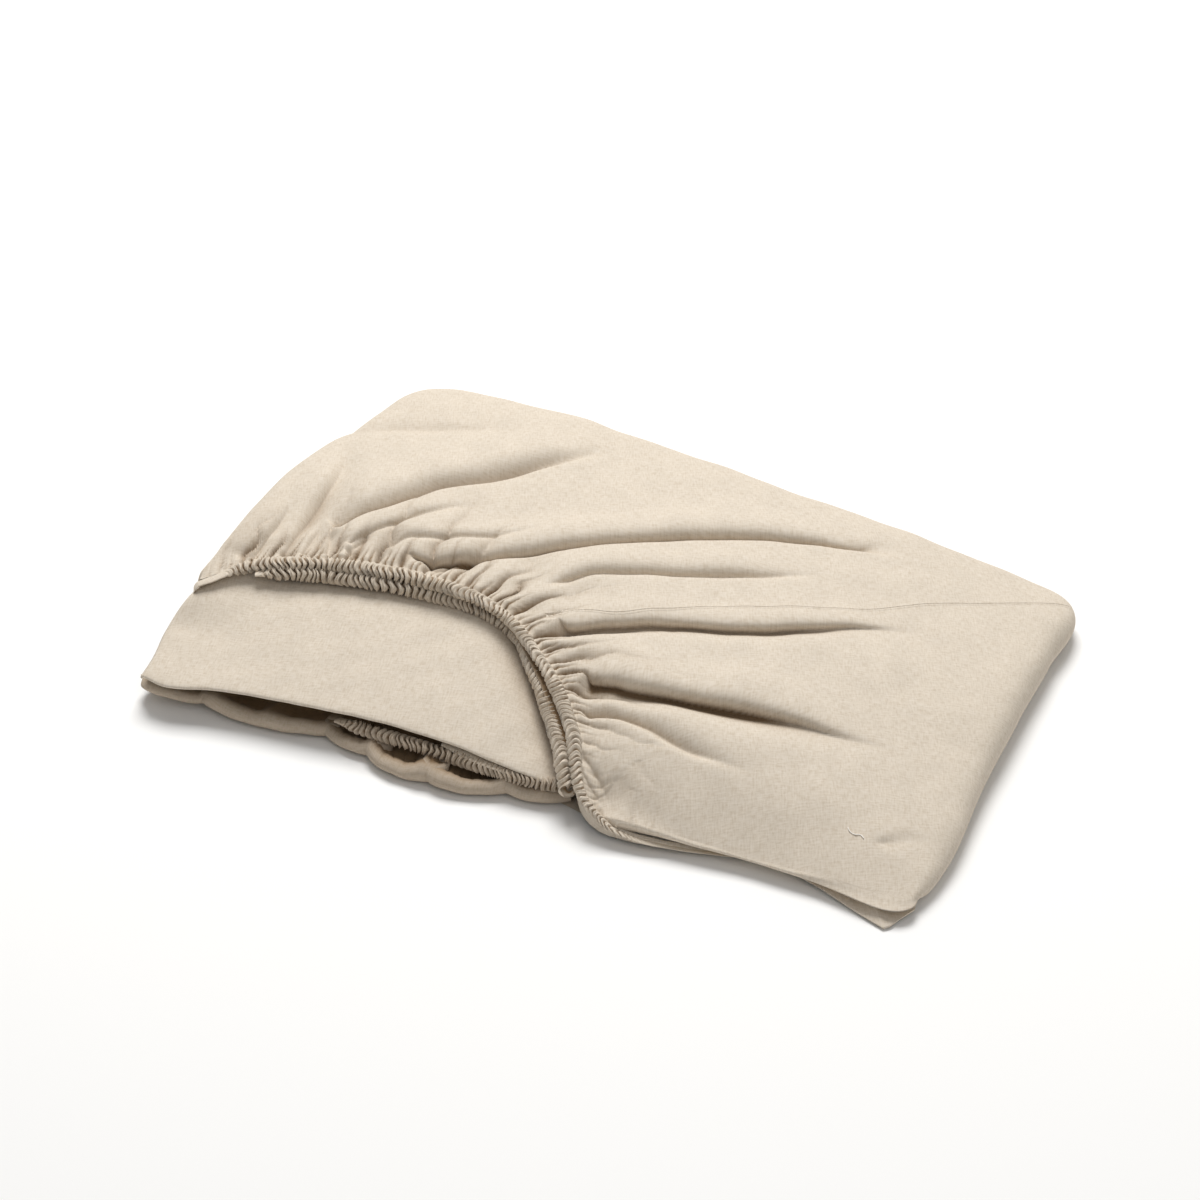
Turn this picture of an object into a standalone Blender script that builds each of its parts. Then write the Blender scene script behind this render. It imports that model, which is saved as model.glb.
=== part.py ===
"""A fitted sheet of washed linen, folded into a flat bundle that lies on the floor.

One corner pocket of the sheet is turned over the folded main panel. Its cloth runs from the
ruched hem over the top, round the rim, under the bundle and up to the lower lip, in one piece.
The main panel lies inside in a back-and-forth section, and ends in the inner hem.
"""

import math
from typing import NamedTuple

import bmesh
import bpy
import numpy as np

# Tables and sizes are in millimetres: x along the bundle, y from its front to its back.
MM = 0.001
# The middle of the bundle's box in the tables' plan, which comes to the origin.
MIDDLE = (0.77, -0.48, 0.0)
CLOTH = 1.2
HALF_CLOTH = CLOTH / 2
LAYER_GAP = 1.0
HEM_WIDTH = 8.0
HEM_TURN = 1.4
HEM_RUCHE = 0.6
HEM_SINK = 2.0
HEM_SETTLES = 22.0
HEM_CLEARS = 4.7
LINING_DROP = 8.4
FLAP_DROP = 11.2
PRESSED_FLAP = 1.5

# The height of the pocket's cloth over the plan, at the crossings of a coarse net.
CROWN_X = (-220, -160, -100, -40, 20, 80, 140, 200)
CROWN_STEP = 60
CROWN_ROWS = (
    # y, then the height at each CROWN_X
    (150, (41, 48, 49, 45, 40, 34, 27, 17)),
    (100, (45, 52, 53, 50, 46, 40, 33, 23)),
    (50, (49, 53, 54, 52, 49, 43, 36, 26)),
    (0, (50, 53, 53, 52, 50, 45, 38, 27)),
    (-50, (45, 48, 48, 48, 47, 43, 36, 24)),
    (-100, (36, 39, 40, 40, 38, 35, 29, 19)),
    (-150, (31, 31, 30, 28, 20, 7, 5, 4)),
)
CROWN_ROW_STEP = 50
LIFT = 6.0
LIFT_FROM_X = -140
LIFT_TO_X = -215


class FanLine(NamedTuple):
    """One line of the pocket's cloth, from its upper hem over the rim to its lower hem."""

    hem_x: float
    hem_y: float
    rim_x: float
    rim_y: float
    rim_round: float
    toe: float
    lip_x: float
    lip_y: float
    heel_y: float


FAN = (
    FanLine(-209, -84, -219, -76, 6, 0, -208, -146, -138),
    FanLine(-188, -64, -221, -38, 12, 0, -199, -149, -140),
    FanLine(-160, -51, -222, 22, 15, 0, -185, -147, -139),
    FanLine(-134, -45, -210, 88, 16, 0, -171, -142, -134),
    FanLine(-109, -38, -188, 143, 14, 0, -156, -144, -135),
    FanLine(-82, -36, -105, 150, 15, 0, -138, -145, -135),
    FanLine(-57, -37, 5, 146, 15, 0, -120, -139, -131),
    FanLine(-40, -44, 118, 140, 13, 0, -102, -136, -129),
    FanLine(-22, -56, 213, 131, 8, 0, -84, -144, -133),
    FanLine(-4, -70, 222, 75, 10, 0, -66, -149, -136),
    FanLine(11, -87, 222, 20, 11, 0, -49, -146, -134),
    FanLine(22, -104, 223, -40, 11, 0, -32, -148, -132),
    FanLine(30, -119, 224, -98, 9, 1, -15, -143, -130),
    FanLine(34, -126, 220, -125, 6, 2, -5, -138, -130),
    FanLine(37, -131, 208, -135, 5, 14, 4, -135, -130.5),
    FanLine(41, -136, 160, -137.5, 4.5, 3, 16, -136, -131),
    FanLine(46, -140.5, 105, -140, 4, 0, 28, -136, -131.8),
    FanLine(52, -143, 66, -144, 3, 0, 42, -139.5, -135),
)


class Crease(NamedTuple):
    """A fold pressed into the pocket's cloth, deeper in its middle than at its ends."""

    depth: float
    half_width: float
    path: tuple


CREASES = (
    Crease(-3.0, 15, ((-175, 31), (-171, 71), (-137, 100), (-88, 112), (-33, 112))),
    Crease(4.5, 10, ((-163, -25), (-149, -8), (-128, 17), (-109, 45), (-80, 78), (-37, 91))),
    Crease(-3.0, 12, ((-99, -12), (-65, 8), (-13, 52), (26, 83), (66, 110), (115, 129))),
    Crease(5.0, 7, ((-99, -33), (-76, -21), (-58, -10), (-7, 28), (24, 56), (55, 80), (93, 94))),
    Crease(3.5, 7, ((-50, -36), (-20, -10), (6, 7), (42, 26), (69, 41), (96, 58))),
    Crease(4.0, 8, ((-16, -55), (24, -34), (48, -20), (78, -9), (106, 2), (132, 21), (152, 34))),
    Crease(6.0, 9, ((10, -89), (29, -80), (48, -79), (74, -74), (105, -71), (165, -64), (187, -60))),
    Crease(3.5, 8, ((28, -101), (34, -94), (53, -91), (83, -96), (108, -96))),
    Crease(3.5, 8, ((38, -118), (52, -130), (62, -139))),
)
CREASE_END = 0.22

# Places along one line of the fan, as shares of each stretch or as angles round the rim.
TOP_SHARES = (0.05, 0.13, 0.22, 0.32, 0.43, 0.54, 0.65, 0.77, 0.89, 1.0)
RIM_ANGLES = (50, 10, -30, -60, -90)
RIM_TOES = (0.0, 0.0, 0.3, 1.0, 0.0)
FLOOR_SHARES = (0.12, 0.4, 0.7, 1.0)
FAN_COLUMNS = 62
RIM_MIDDLE = 0.42

# The turned hem, as distance out from its stitching and height, in shares of width and turn.
HEM_OUTLINE = ((0.35, -1.0), (0.9, -0.9), (1.0, 0.1), (0.75, 1.0), (0.0, 0.8))
# The lower lip, as distance in from its foremost point and height above the floor cloth.
LOWER_LIP = ((2.0, 1.6), (0.2, 5.4), (3.5, 9.3), (12.0, 12.6), (16.2, 11.6), (12.0, 9.2))
END_CURL = 0.25


class Section(NamedTuple):
    """The folded main panel at one place along the bundle."""

    x: float
    front_y: float
    tuck: float
    back_y: float
    hem_y: float
    turn: float


PANEL = (
    Section(-209, -149, 26, 48, -60, 0.62),
    Section(-192, -151, 27, 98, -56, 0.62),
    Section(-171, -145, 24, 116, -52, 0.65),
    Section(-150, -141, 20, 124, -54, 0.8),
    Section(-126, -138, 18, 128, -49, 0.9),
    Section(-82, -133, 16, 130, -44, 0.9),
    Section(-56, -132, 14, 129, -45, 0.9),
    Section(-30, -132, 13, 128, -61, 0.9),
    Section(-5, -133, 16, 127, -85, 0.9),
    Section(12, -133, 17, 126, -104, 0.9),
    Section(27, -130, 17, 125, -118, 0.65),
    Section(44, -117, 10, 122, -108, 0.62),
    Section(75, -111, 8, 118, -98, 0.62),
    Section(120, -108, 8, 114, -94, 0.62),
    Section(165, -104, 6, 106, -90, 0.62),
)
PANEL_COLUMNS = 22
UNDER_SHARES = (1.0, 0.7, 0.4, 0.2, 0.08, 0.0)
PANEL_RETREAT = 9.0
PANEL_ENDS_UNDER = -92
PANEL_BULGE = 7.0
PANEL_BULGES_AT = -112

LINEN = (0.60, 0.51, 0.40, 1.0)


def smooth(share):
    """A share from 0 to 1 that starts and ends softly."""
    share = min(max(share, 0.0), 1.0)
    return share * share * (3.0 - 2.0 * share)


def spline(rows, place):
    """The rows' values at a place counted in rows, on a smooth curve through them."""
    last = len(rows) - 1
    start = min(max(int(math.floor(place)), 0), last - 1)
    share = place - start
    before, low, high, after = (
        np.array(rows[min(max(start + step, 0), last)], float) for step in (-1, 0, 1, 2)
    )
    if start == 0:
        before = 2 * low - high
    if start == last - 1:
        after = 2 * high - low
    lead, trail = (high - before) / 2, (after - low) / 2
    return (
        low * (2 * share**3 - 3 * share**2 + 1)
        + lead * (share**3 - 2 * share**2 + share)
        + high * (3 * share**2 - 2 * share**3)
        + trail * (share**3 - share**2)
    )


def crown(x, y):
    """The height of the pocket's smooth cloth over a point of the plan."""
    column = (x - CROWN_X[0]) / CROWN_STEP
    heights = [spline([[height] for height in row], column) for _, row in CROWN_ROWS]
    return float(spline(heights, (CROWN_ROWS[0][0] - y) / CROWN_ROW_STEP)[0])


def floor_height(x):
    """The middle of the lowest cloth, which lifts a little at the bundle's left end."""
    return HALF_CLOTH + LIFT * smooth((LIFT_FROM_X - x) / (LIFT_FROM_X - LIFT_TO_X))


def across(rows, place, first, turn):
    """The direction square to a table's path at a place, on its left for 1, its right for -1."""
    step = 0.02
    ahead = spline(rows, min(place + step, len(rows) - 1))[first : first + 2]
    behind = spline(rows, max(place - step, 0))[first : first + 2]
    along = (ahead - behind) / np.linalg.norm(ahead - behind)
    return turn * np.array((-along[1], along[0]))


def hem_path():
    """Points of the upper hem's middle: x, y, height and the direction into the pocket."""
    path = []
    for place in np.linspace(0, len(FAN) - 1, 171):
        x, y = spline(FAN, place)[:2]
        path.append((x, y, crown(x, y) - HEM_SINK, *across(FAN, place, 0, 1)))
    return np.array(path)


def nearest(path, x, y):
    """The share of the way along a path at its point nearest to x, y, and the distance."""
    ends = np.array(path, float)
    starts, steps = ends[:-1], np.diff(ends, axis=0)
    lengths = np.hypot(*steps.T)
    shares = ((np.array((x, y)) - starts) * steps).sum(1) / lengths**2
    shares = np.clip(shares, 0, 1)
    gaps = np.hypot(*(starts + steps * shares[:, None] - (x, y)).T)
    best = int(gaps.argmin())
    return (lengths[:best].sum() + shares[best] * lengths[best]) / lengths.sum(), gaps[best]


def pressed(x, y):
    """How far the creases press the pocket's cloth down at a point of the plan."""
    total = 0.0
    for crease in CREASES:
        share, gap = nearest(crease.path, x, y)
        ends = smooth(share / CREASE_END) * smooth((1 - share) / CREASE_END)
        total += crease.depth * ends * math.exp(-((gap / crease.half_width) ** 2))
    return total


def pocket_height(hem, x, y, depth=None):
    """The pocket's height at a point of the plan, or that of a cloth at some depth below it.

    A cloth below it passes under the turned hem, and lies under the creases without them.
    """
    closest = hem[np.hypot(hem[:, 0] - x, hem[:, 1] - y).argmin()]
    inside = (x - closest[0]) * closest[3] + (y - closest[1]) * closest[4] - HEM_WIDTH / 2
    settled = smooth(inside / HEM_SETTLES)
    at_hem = closest[2] + HEM_TURN * 0.8 - (0 if depth is None else HEM_CLEARS)
    below = pressed(x, y) if depth is None else depth
    return (crown(x, y) - below) * settled + at_hem * (1 - settled)


def pocket_line(hem, place, column):
    """The points of one line of the pocket's cloth, from hem to hem."""
    fan = FanLine(*spline(FAN, place))
    hem_at, rim, lip = (
        np.array(pair)
        for pair in ((fan.hem_x, fan.hem_y), (fan.rim_x, fan.rim_y), (fan.lip_x, fan.lip_y))
    )
    inward = across(FAN, place, 0, 1)
    outward = across(FAN, place, 2, 1)
    forward = across(FAN, place, 6, -1)
    shoulder = rim - outward * fan.rim_round
    stitching = hem_at + inward * HEM_WIDTH / 2
    level = crown(*hem_at) - HEM_SINK
    ruche = HEM_RUCHE * (1 if column % 2 else -1)
    points = []
    for out, up in HEM_OUTLINE:
        plan = stitching - inward * out * (HEM_WIDTH + ruche)
        points.append((*plan, level + up * (HEM_TURN + ruche * 0.4)))
    for share in TOP_SHARES:
        plan = stitching + (shoulder - stitching) * share
        points.append((*plan, pocket_height(hem, *plan)))
    edge = points[-1][2]
    base = floor_height(shoulder[0])
    middle = base + RIM_MIDDLE * (edge - base)
    for degrees, toe in zip(RIM_ANGLES, RIM_TOES):
        angle = math.radians(degrees)
        rise = (edge - middle) if angle > 0 else (middle - base)
        plan = shoulder + outward * (fan.rim_round * math.cos(angle) + fan.toe * toe)
        points.append((*plan, middle + rise * math.sin(angle)))
    heel = np.array((fan.lip_x, fan.heel_y))
    under = points[-1][:2]
    for share in FLOOR_SHARES:
        plan = under + (heel - under) * share
        points.append((*plan, floor_height(plan[0])))
    curl = 1 - END_CURL * smooth((-165 - lip[0]) / 35)
    for back, up in LOWER_LIP:
        plan = lip - forward * back * curl
        points.append((*plan, floor_height(plan[0]) + up * curl))
    return points


def fold_round(low, high, edge, side, depth=4.0):
    """The round of a fold from one height to another, at an edge that faces one side."""
    middle, half = (low + high) / 2, (high - low) / 2
    reach = min(abs(half), depth)
    angles = (math.radians(degrees) for degrees in (-60, 0, 60))
    return [
        (edge + side * reach * (math.cos(angle) - 1), middle + half * math.sin(angle))
        for angle in angles
    ]


def panel_section(hem, x):
    """The back-and-forth section of the folded main panel, as y and height."""
    section = Section(*spline(PANEL, panel_place(x)))
    base = floor_height(x)
    first = base + CLOTH + LAYER_GAP
    front, back = section.front_y, section.back_y
    tucked = front + section.tuck

    def flap(y):
        return crown(x, y) - FLAP_DROP - PRESSED_FLAP * smooth((y - section.hem_y) / 30)

    def under_flap(y):
        third = (flap(y) - first) / 3
        return flap(y) - min(CLOTH + 1.2 + 0.04 * (y - front), third)

    def second(y):
        return first + (under_flap(y) - first) / 2

    def lining(y):
        return pocket_height(hem, x, y, LINING_DROP)

    points = [(back, base), (back, base + CLOTH), (back - 1.2, first - 0.3)]
    points += [(y, first) for y in np.linspace(back - 5, tucked + 5, 3)]
    points += fold_round(first, second(tucked), tucked, -1)
    points += [(y, second(y)) for y in np.linspace(tucked + 5, back - 6, 3)]
    points += fold_round(second(back), under_flap(back), back, 1)
    points += [
        (y, under_flap(y))
        for y in (front + 4 + (back - front - 10) * share for share in UNDER_SHARES)
    ]
    points += fold_round(under_flap(front), flap(front), front, -1)
    points += [(y, flap(y)) for y in np.linspace(front + 4, back - 4, 9)]
    points += fold_round(flap(back), lining(back), back, 1)
    stitching = section.hem_y + HEM_WIDTH / 2
    points += [(y, lining(y)) for y in np.linspace(back - 4, stitching + 5, 7)]
    half = HEM_TURN * section.turn
    for out, up in reversed(HEM_OUTLINE):
        y = stitching - out * HEM_WIDTH
        points.append((y, lining(y) + (up - 0.8) * half))
    return points


def panel_place(x):
    """Where x falls in the panel's table, counted in rows."""
    row = sum(section.x <= x for section in PANEL[1:-1])
    return row + (x - PANEL[row].x) / (PANEL[row + 1].x - PANEL[row].x)


def retreat(x, y):
    """How far the panel's left end draws back under the pocket, and bulges out before it."""
    drawn = PANEL_RETREAT * smooth((y - PANEL_ENDS_UNDER) / 30)
    bulge = PANEL_BULGE * math.exp(-(((y - PANEL_BULGES_AT) / 20) ** 2))
    return (drawn - bulge) * smooth((-150 - x) / 59)


def grid_sheet(name, lines, collection):
    """A sheet whose grid is laid over the given lines of points, and then thickened."""
    mesh = bpy.data.meshes.new(name)
    sheet = bmesh.new()
    across_lines, along_line = len(lines) - 1, len(lines[0]) - 1
    bmesh.ops.create_grid(sheet, x_segments=across_lines, y_segments=along_line, size=1)
    for vertex in sheet.verts:
        column = round((vertex.co.x + 1) / 2 * across_lines)
        row = round((vertex.co.y + 1) / 2 * along_line)
        vertex.co = [(value - middle) * MM for value, middle in zip(lines[column][row], MIDDLE)]
    sheet.to_mesh(mesh)
    sheet.free()
    cloth = bpy.data.objects.new(name, mesh)
    collection.objects.link(cloth)
    thickness = cloth.modifiers.new("Cloth thickness", "SOLIDIFY")
    thickness.thickness = CLOTH * MM
    thickness.offset = 0.0
    return cloth


def linen():
    """Plain washed linen in its natural sand colour."""
    material = bpy.data.materials.new("Washed linen")
    material.use_nodes = True
    shader = material.node_tree.nodes["Principled BSDF"]
    shader.inputs["Base Color"].default_value = LINEN
    shader.inputs["Roughness"].default_value = 0.9
    shader.inputs["Metallic"].default_value = 0.0
    return material


def named_collection(name, hidden=False):
    """A new collection in the scene, hidden from renders when it holds helpers."""
    collection = bpy.data.collections.new(name)
    bpy.context.scene.collection.children.link(collection)
    collection.hide_render = hidden
    return collection


def main():
    """Folds the sheet."""
    for leftover in list(bpy.data.objects):
        bpy.data.objects.remove(leftover)
    parts = named_collection("Folded fitted sheet")
    helpers = named_collection("Helpers", hidden=True)
    hem = hem_path()
    pocket_lines = [
        pocket_line(hem, column * (len(FAN) - 1) / FAN_COLUMNS, column)
        for column in range(FAN_COLUMNS + 1)
    ]
    sheet = grid_sheet("fitted_sheet", pocket_lines, parts)
    stations = np.linspace(PANEL[0].x, PANEL[-1].x, PANEL_COLUMNS + 1)
    panel_lines = [
        [(x + retreat(x, y), y, z) for y, z in panel_section(hem, x)] for x in stations
    ]
    panel = grid_sheet("folded_panel", panel_lines, helpers)
    panel.hide_render = True
    panel.display_type = "WIRE"
    join = sheet.modifiers.new("Panel runs into the pocket", "BOOLEAN")
    join.operation = "UNION"
    join.object = panel
    sheet.data.materials.append(linen())


main()
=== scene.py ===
"""A fitted sheet of washed linen, folded into a flat bundle on a pale floor.

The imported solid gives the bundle's place and size. The pieces made here lie in its space and
show the cloth in full: the turned-over corner pocket with its gathers and creases, the ruched
hems, the folded panel with its flap, the pouches of the lower lip and the seam.
"""

import logging
import math
from dataclasses import dataclass, field
from enum import Enum
from typing import Callable, NamedTuple, Sequence

import bmesh
import bpy
import numpy as np
from mathutils import Matrix, Vector
from mathutils.bvhtree import BVHTree


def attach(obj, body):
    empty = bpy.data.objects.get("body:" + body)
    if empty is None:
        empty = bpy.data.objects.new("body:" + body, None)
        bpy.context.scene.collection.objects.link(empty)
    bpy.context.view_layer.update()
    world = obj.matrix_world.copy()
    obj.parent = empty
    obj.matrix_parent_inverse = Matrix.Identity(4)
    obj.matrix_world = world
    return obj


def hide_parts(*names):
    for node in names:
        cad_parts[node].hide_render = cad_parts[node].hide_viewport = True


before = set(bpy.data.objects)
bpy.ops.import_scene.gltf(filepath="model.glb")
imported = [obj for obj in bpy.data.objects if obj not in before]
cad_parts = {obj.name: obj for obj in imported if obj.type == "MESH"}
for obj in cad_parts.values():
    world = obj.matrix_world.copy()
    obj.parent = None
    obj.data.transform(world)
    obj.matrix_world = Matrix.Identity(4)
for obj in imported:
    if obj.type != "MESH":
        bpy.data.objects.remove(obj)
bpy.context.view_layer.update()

LOG = logging.getLogger("folded_sheet")
Array = np.ndarray

# Tables and sizes are in millimetres, in the plan that the solids are drawn in: x along the
# bundle, y from its front to its back. MIDDLE is what comes to the origin.
MM = 0.001
MIDDLE = np.array((0.77, -0.48, 0.0))
CLOTH = 1.2
LAYER_GAP = 1.0
# The upper hem: its width, the height of its top over its middle, how far its middle lies
# below the pocket's crown, over what width the pocket rises to its crown behind it, and how
# far the cloth below it stays clear of it.
HEM_WIDTH = 8.0
HEM_TOP = 1.4 * 0.8
HEM_SINK = 2.0
HEM_SETTLES = 22.0
HEM_CLEARS = 4.7
# How deep the lining and the flap lie below the pocket's crown, and how much deeper the flap
# is pressed under the pocket.
LINING_DROP = 8.4
FLAP_DROP = 11.2
PRESSED_FLAP = 1.5
# What lies under the pocket keeps this much lower than in the solid, clear of the folds' hollows.
HOLLOW_ROOM = 5.0
# How far the lowest cloth lifts at the bundle's left end, from where, and over what length.
END_LIFT, END_LIFT_FROM, END_LIFT_OVER = 6.0, -140.0, 75.0
# How far the grain's UV map goes for each millimetre of cloth.
UV_PER_MM = 0.01
# Long searches take this many points at a time, to spare memory.
AT_ONCE = 4000

# The height of the pocket's cloth over the plan, at the crossings of a coarse net: a row for
# each y in CROWN_Y, a column for each x from CROWN_X on.
CROWN_X, CROWN_STEP = -220, 60
CROWN_Y, CROWN_ROW_STEP = 150, 50
CROWN = np.array(
    (
        (41, 48, 49, 45, 40, 34, 27, 17),
        (45, 52, 53, 50, 46, 40, 33, 23),
        (49, 53, 54, 52, 49, 43, 36, 26),
        (50, 53, 53, 52, 50, 45, 38, 27),
        (45, 48, 48, 48, 47, 43, 36, 24),
        (36, 39, 40, 40, 38, 35, 29, 19),
        (31, 31, 30, 28, 20, 7, 5, 4),
    ),
    float,
)

# The pocket's cloth as a fan of lines from its upper hem over the rim to its heel under the
# lower lip: hem x, hem y, rim x, rim y, rim round, toe, lip x, lip y, heel y. The hem lies
# closer to the panel's own hem than in the solid.
FAN = np.array(
    (
        (-209, -86, -219, -76, 6, 0, -208, -146, -138),
        (-189, -67, -221, -38, 12, 0, -199, -149, -140),
        (-161, -56, -222, 22, 15, 0, -185, -147, -139),
        (-134, -49, -210, 88, 16, 0, -171, -142, -134),
        (-108, -45.5, -188, 143, 14, 0, -156, -144, -135),
        (-84, -44.5, -105, 150, 15, 0, -138, -145, -135),
        (-61, -47, 5, 146, 15, 0, -120, -139, -131),
        (-45, -52, 118, 140, 13, 0, -102, -136, -129),
        (-28.5, -61, 213, 131, 8, 0, -84, -144, -133),
        (-11.5, -74.5, 222, 75, 10, 0, -66, -149, -136),
        (5, -88.5, 222, 20, 11, 0, -49, -146, -134),
        (18.5, -103, 223, -40, 11, 0, -32, -148, -132),
        (28, -114.5, 224, -98, 9, 1, -15, -143, -130),
        (32.5, -122.5, 220, -125, 6, 2, -5, -138, -130),
        (36.5, -129.5, 208, -135, 5, 14, 4, -135, -130.5),
        (41, -136, 160, -137.5, 4.5, 3, 16, -136, -131),
        (46.5, -141, 105, -140, 4, 0, 28, -136, -131.8),
        (52, -143.5, 66, -144, 3, 0, 42, -139.5, -135),
    ),
    float,
)

# The pocket's front edge in plan, from the hem's end to the right-hand corner.
FRONT_EDGE = np.array(
    ((36, -134), (52, -144.5), (66, -144), (105, -140), (160, -137.5), (208, -135), (216, -133)),
    float,
)

# The folded panel's section at places along the bundle: x, front y, tuck, back y, hem y.
PANEL = np.array(
    (
        (-209, -149, 26, 48, -60),
        (-192, -151, 27, 98, -56),
        (-171, -145, 24, 116, -52),
        (-150, -141, 20, 124, -54),
        (-126, -138, 18, 128, -49),
        (-82, -133, 16, 130, -44),
        (-56, -132, 14, 129, -45),
        (-30, -132, 13, 128, -61),
        (-5, -133, 16, 127, -85),
        (12, -133, 17, 126, -104),
        (27, -130, 17, 125, -118),
        (44, -117, 10, 122, -108),
        (75, -111, 8, 118, -98),
        (120, -108, 8, 114, -94),
        (165, -104, 6, 106, -90),
    ),
    float,
)


def smooth(share: Array | float) -> Array:
    """A share from 0 to 1 that starts and ends softly."""
    share = np.clip(share, 0.0, 1.0)
    return share * share * (3.0 - 2.0 * share)


def taps(place: Array, count: int) -> tuple[Array, Array]:
    """The four rows and weights that give a smooth curve's value at each place.

    Args:
        place: Places counted in rows.
        count: How many rows the table has.

    Returns:
        Row numbers and weights, each 4 by the number of places.
    """
    start = np.clip(np.floor(place).astype(int), 0, count - 2)
    share = place - start
    lead = share**3 - 2 * share**2 + share
    trail = share**3 - share**2
    rise = 3 * share**2 - 2 * share**3
    weights = np.stack((-lead / 2, 1 - rise - trail / 2, rise + lead / 2, trail / 2))
    before = np.where(start == 0, weights[0], 0.0)
    after = np.where(start == count - 2, weights[3], 0.0)
    weights += np.stack((-before, 2 * before - after, 2 * after - before, -after))
    rows = np.clip(start + np.arange(-1, 3)[:, None], 0, count - 1)
    return rows, weights


def spline(rows: Array, place: Array) -> Array:
    """The rows' values at places counted in rows, on a smooth curve through them.

    Args:
        rows: A table, one row for each point.
        place: Places counted in rows.

    Returns:
        One row of values for each place.
    """
    rows = np.asarray(rows, float)
    index, weights = taps(np.asarray(place, float), len(rows))
    return np.einsum("kn,knc->nc", weights, rows[index])


def crown(x: Array, y: Array) -> Array:
    """The height of the pocket's smooth cloth over points of the plan.

    Args:
        x: Places along the bundle.
        y: Places from front to back.

    Returns:
        The heights in millimetres.
    """
    shape = np.broadcast(x, y).shape
    x, y = (np.broadcast_to(value, shape).ravel() for value in (x, y))
    columns, across = taps((x - CROWN_X) / CROWN_STEP, CROWN.shape[1])
    rows, down = taps((CROWN_Y - y) / CROWN_ROW_STEP, CROWN.shape[0])
    net = CROWN[rows[:, None], columns[None]]
    return np.einsum("rn,cn,rcn->n", down, across, net).reshape(shape)


def floor_height(x: Array) -> Array:
    """The middle of the lowest cloth, which lifts a little at the bundle's left end."""
    return CLOTH / 2 + END_LIFT * smooth((END_LIFT_FROM - x) / END_LIFT_OVER)


def lift_of(x: Array) -> Array:
    """How far the lowest cloth stands off the floor."""
    return floor_height(x) - CLOTH / 2


def square_to(rows: Array, place: Array, first: int) -> Array:
    """The unit directions in plan, on the left of the path that a table's two columns give.

    Args:
        rows: The table.
        place: Places counted in rows.
        first: The column with the path's x, which its y follows.

    Returns:
        A unit vector for each place.
    """
    ahead = spline(rows, np.minimum(place + 0.02, len(rows) - 1))[:, first : first + 2]
    behind = spline(rows, np.maximum(place - 0.02, 0))[:, first : first + 2]
    along = ahead - behind
    along /= np.linalg.norm(along, axis=1, keepdims=True)
    return np.stack((-along[:, 1], along[:, 0]), 1)


def evenly(path: Sequence, count: int) -> tuple[Array, Array]:
    """Points spaced evenly on the smooth curve through a path.

    Args:
        path: The path's points, of two or three values each.
        count: How many points to give.

    Returns:
        The points, and the distance along the curve at each.
    """
    path = np.asarray(path, float)
    fine = spline(path, np.linspace(0, len(path) - 1, 40 * len(path)))
    steps = np.linalg.norm(np.diff(fine, axis=0), axis=1)
    run = np.concatenate(([0], np.cumsum(steps)))
    wanted = np.linspace(0, run[-1], count)
    found = np.stack([np.interp(wanted, run, column) for column in fine.T], 1)
    return found, wanted


def heading(path: Array) -> Array:
    """The unit directions of a path's points, row by row."""
    along = np.gradient(path, axis=0)
    return along / np.linalg.norm(along, axis=1, keepdims=True)


def averaged(values: Array, side: int) -> Array:
    """Each value's mean with its neighbours, so many on each side."""
    kernel = np.ones(2 * side + 1) / (2 * side + 1)
    return np.convolve(np.pad(values, side, "edge"), kernel, "valid")


def waver(x: Array, y: Array, size: float, seed: int, count: int = 7) -> Array:
    """A soft, even unevenness from about -1 to 1 over the plan, of waves about one size long.

    Args:
        x: Places along the bundle.
        y: Places from front to back.
        size: The waves' middle length.
        seed: What the waves are drawn from.
        count: How many waves are added up.

    Returns:
        A value for each point.
    """
    draw = np.random.default_rng(seed)
    total = np.zeros(np.broadcast(x, y).shape)
    for _ in range(count):
        angle, start = draw.uniform(0, math.tau, 2)
        wave = math.tau / (size * draw.uniform(0.7, 1.7))
        total += np.sin(wave * (x * math.cos(angle) + y * math.sin(angle)) + start)
    return total / math.sqrt(count)


def hem_path() -> Array:
    """The upper hem's middle: x, y, height, inward direction, and the run along it.

    Returns:
        One row for each point of the hem, six values each.
    """
    place = np.linspace(0, len(FAN) - 1, 640)
    middle = spline(FAN, place)[:, :2]
    steps = np.linalg.norm(np.diff(middle, axis=0), axis=1)
    run = np.concatenate(([0], np.cumsum(steps)))
    height = crown(middle[:, 0], middle[:, 1]) - HEM_SINK
    return np.column_stack((middle, height, square_to(FAN, place, 0), run))


HEM = hem_path()
HEM_LENGTH = float(HEM[-1, 5])


def closest_hem(x: Array, y: Array) -> Array:
    """The row of HEM nearest to each point of the plan.

    Args:
        x: Places along the bundle.
        y: Places from front to back.

    Returns:
        A row of HEM for each point.
    """
    found = np.empty(x.size, int)
    flat_x, flat_y = x.ravel(), y.ravel()
    for start in range(0, x.size, AT_ONCE):
        part = slice(start, start + AT_ONCE)
        gaps = (flat_x[part, None] - HEM[:, 0]) ** 2 + (flat_y[part, None] - HEM[:, 1]) ** 2
        found[part] = gaps.argmin(1)
    return HEM[found].reshape(*x.shape, 6)


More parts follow.
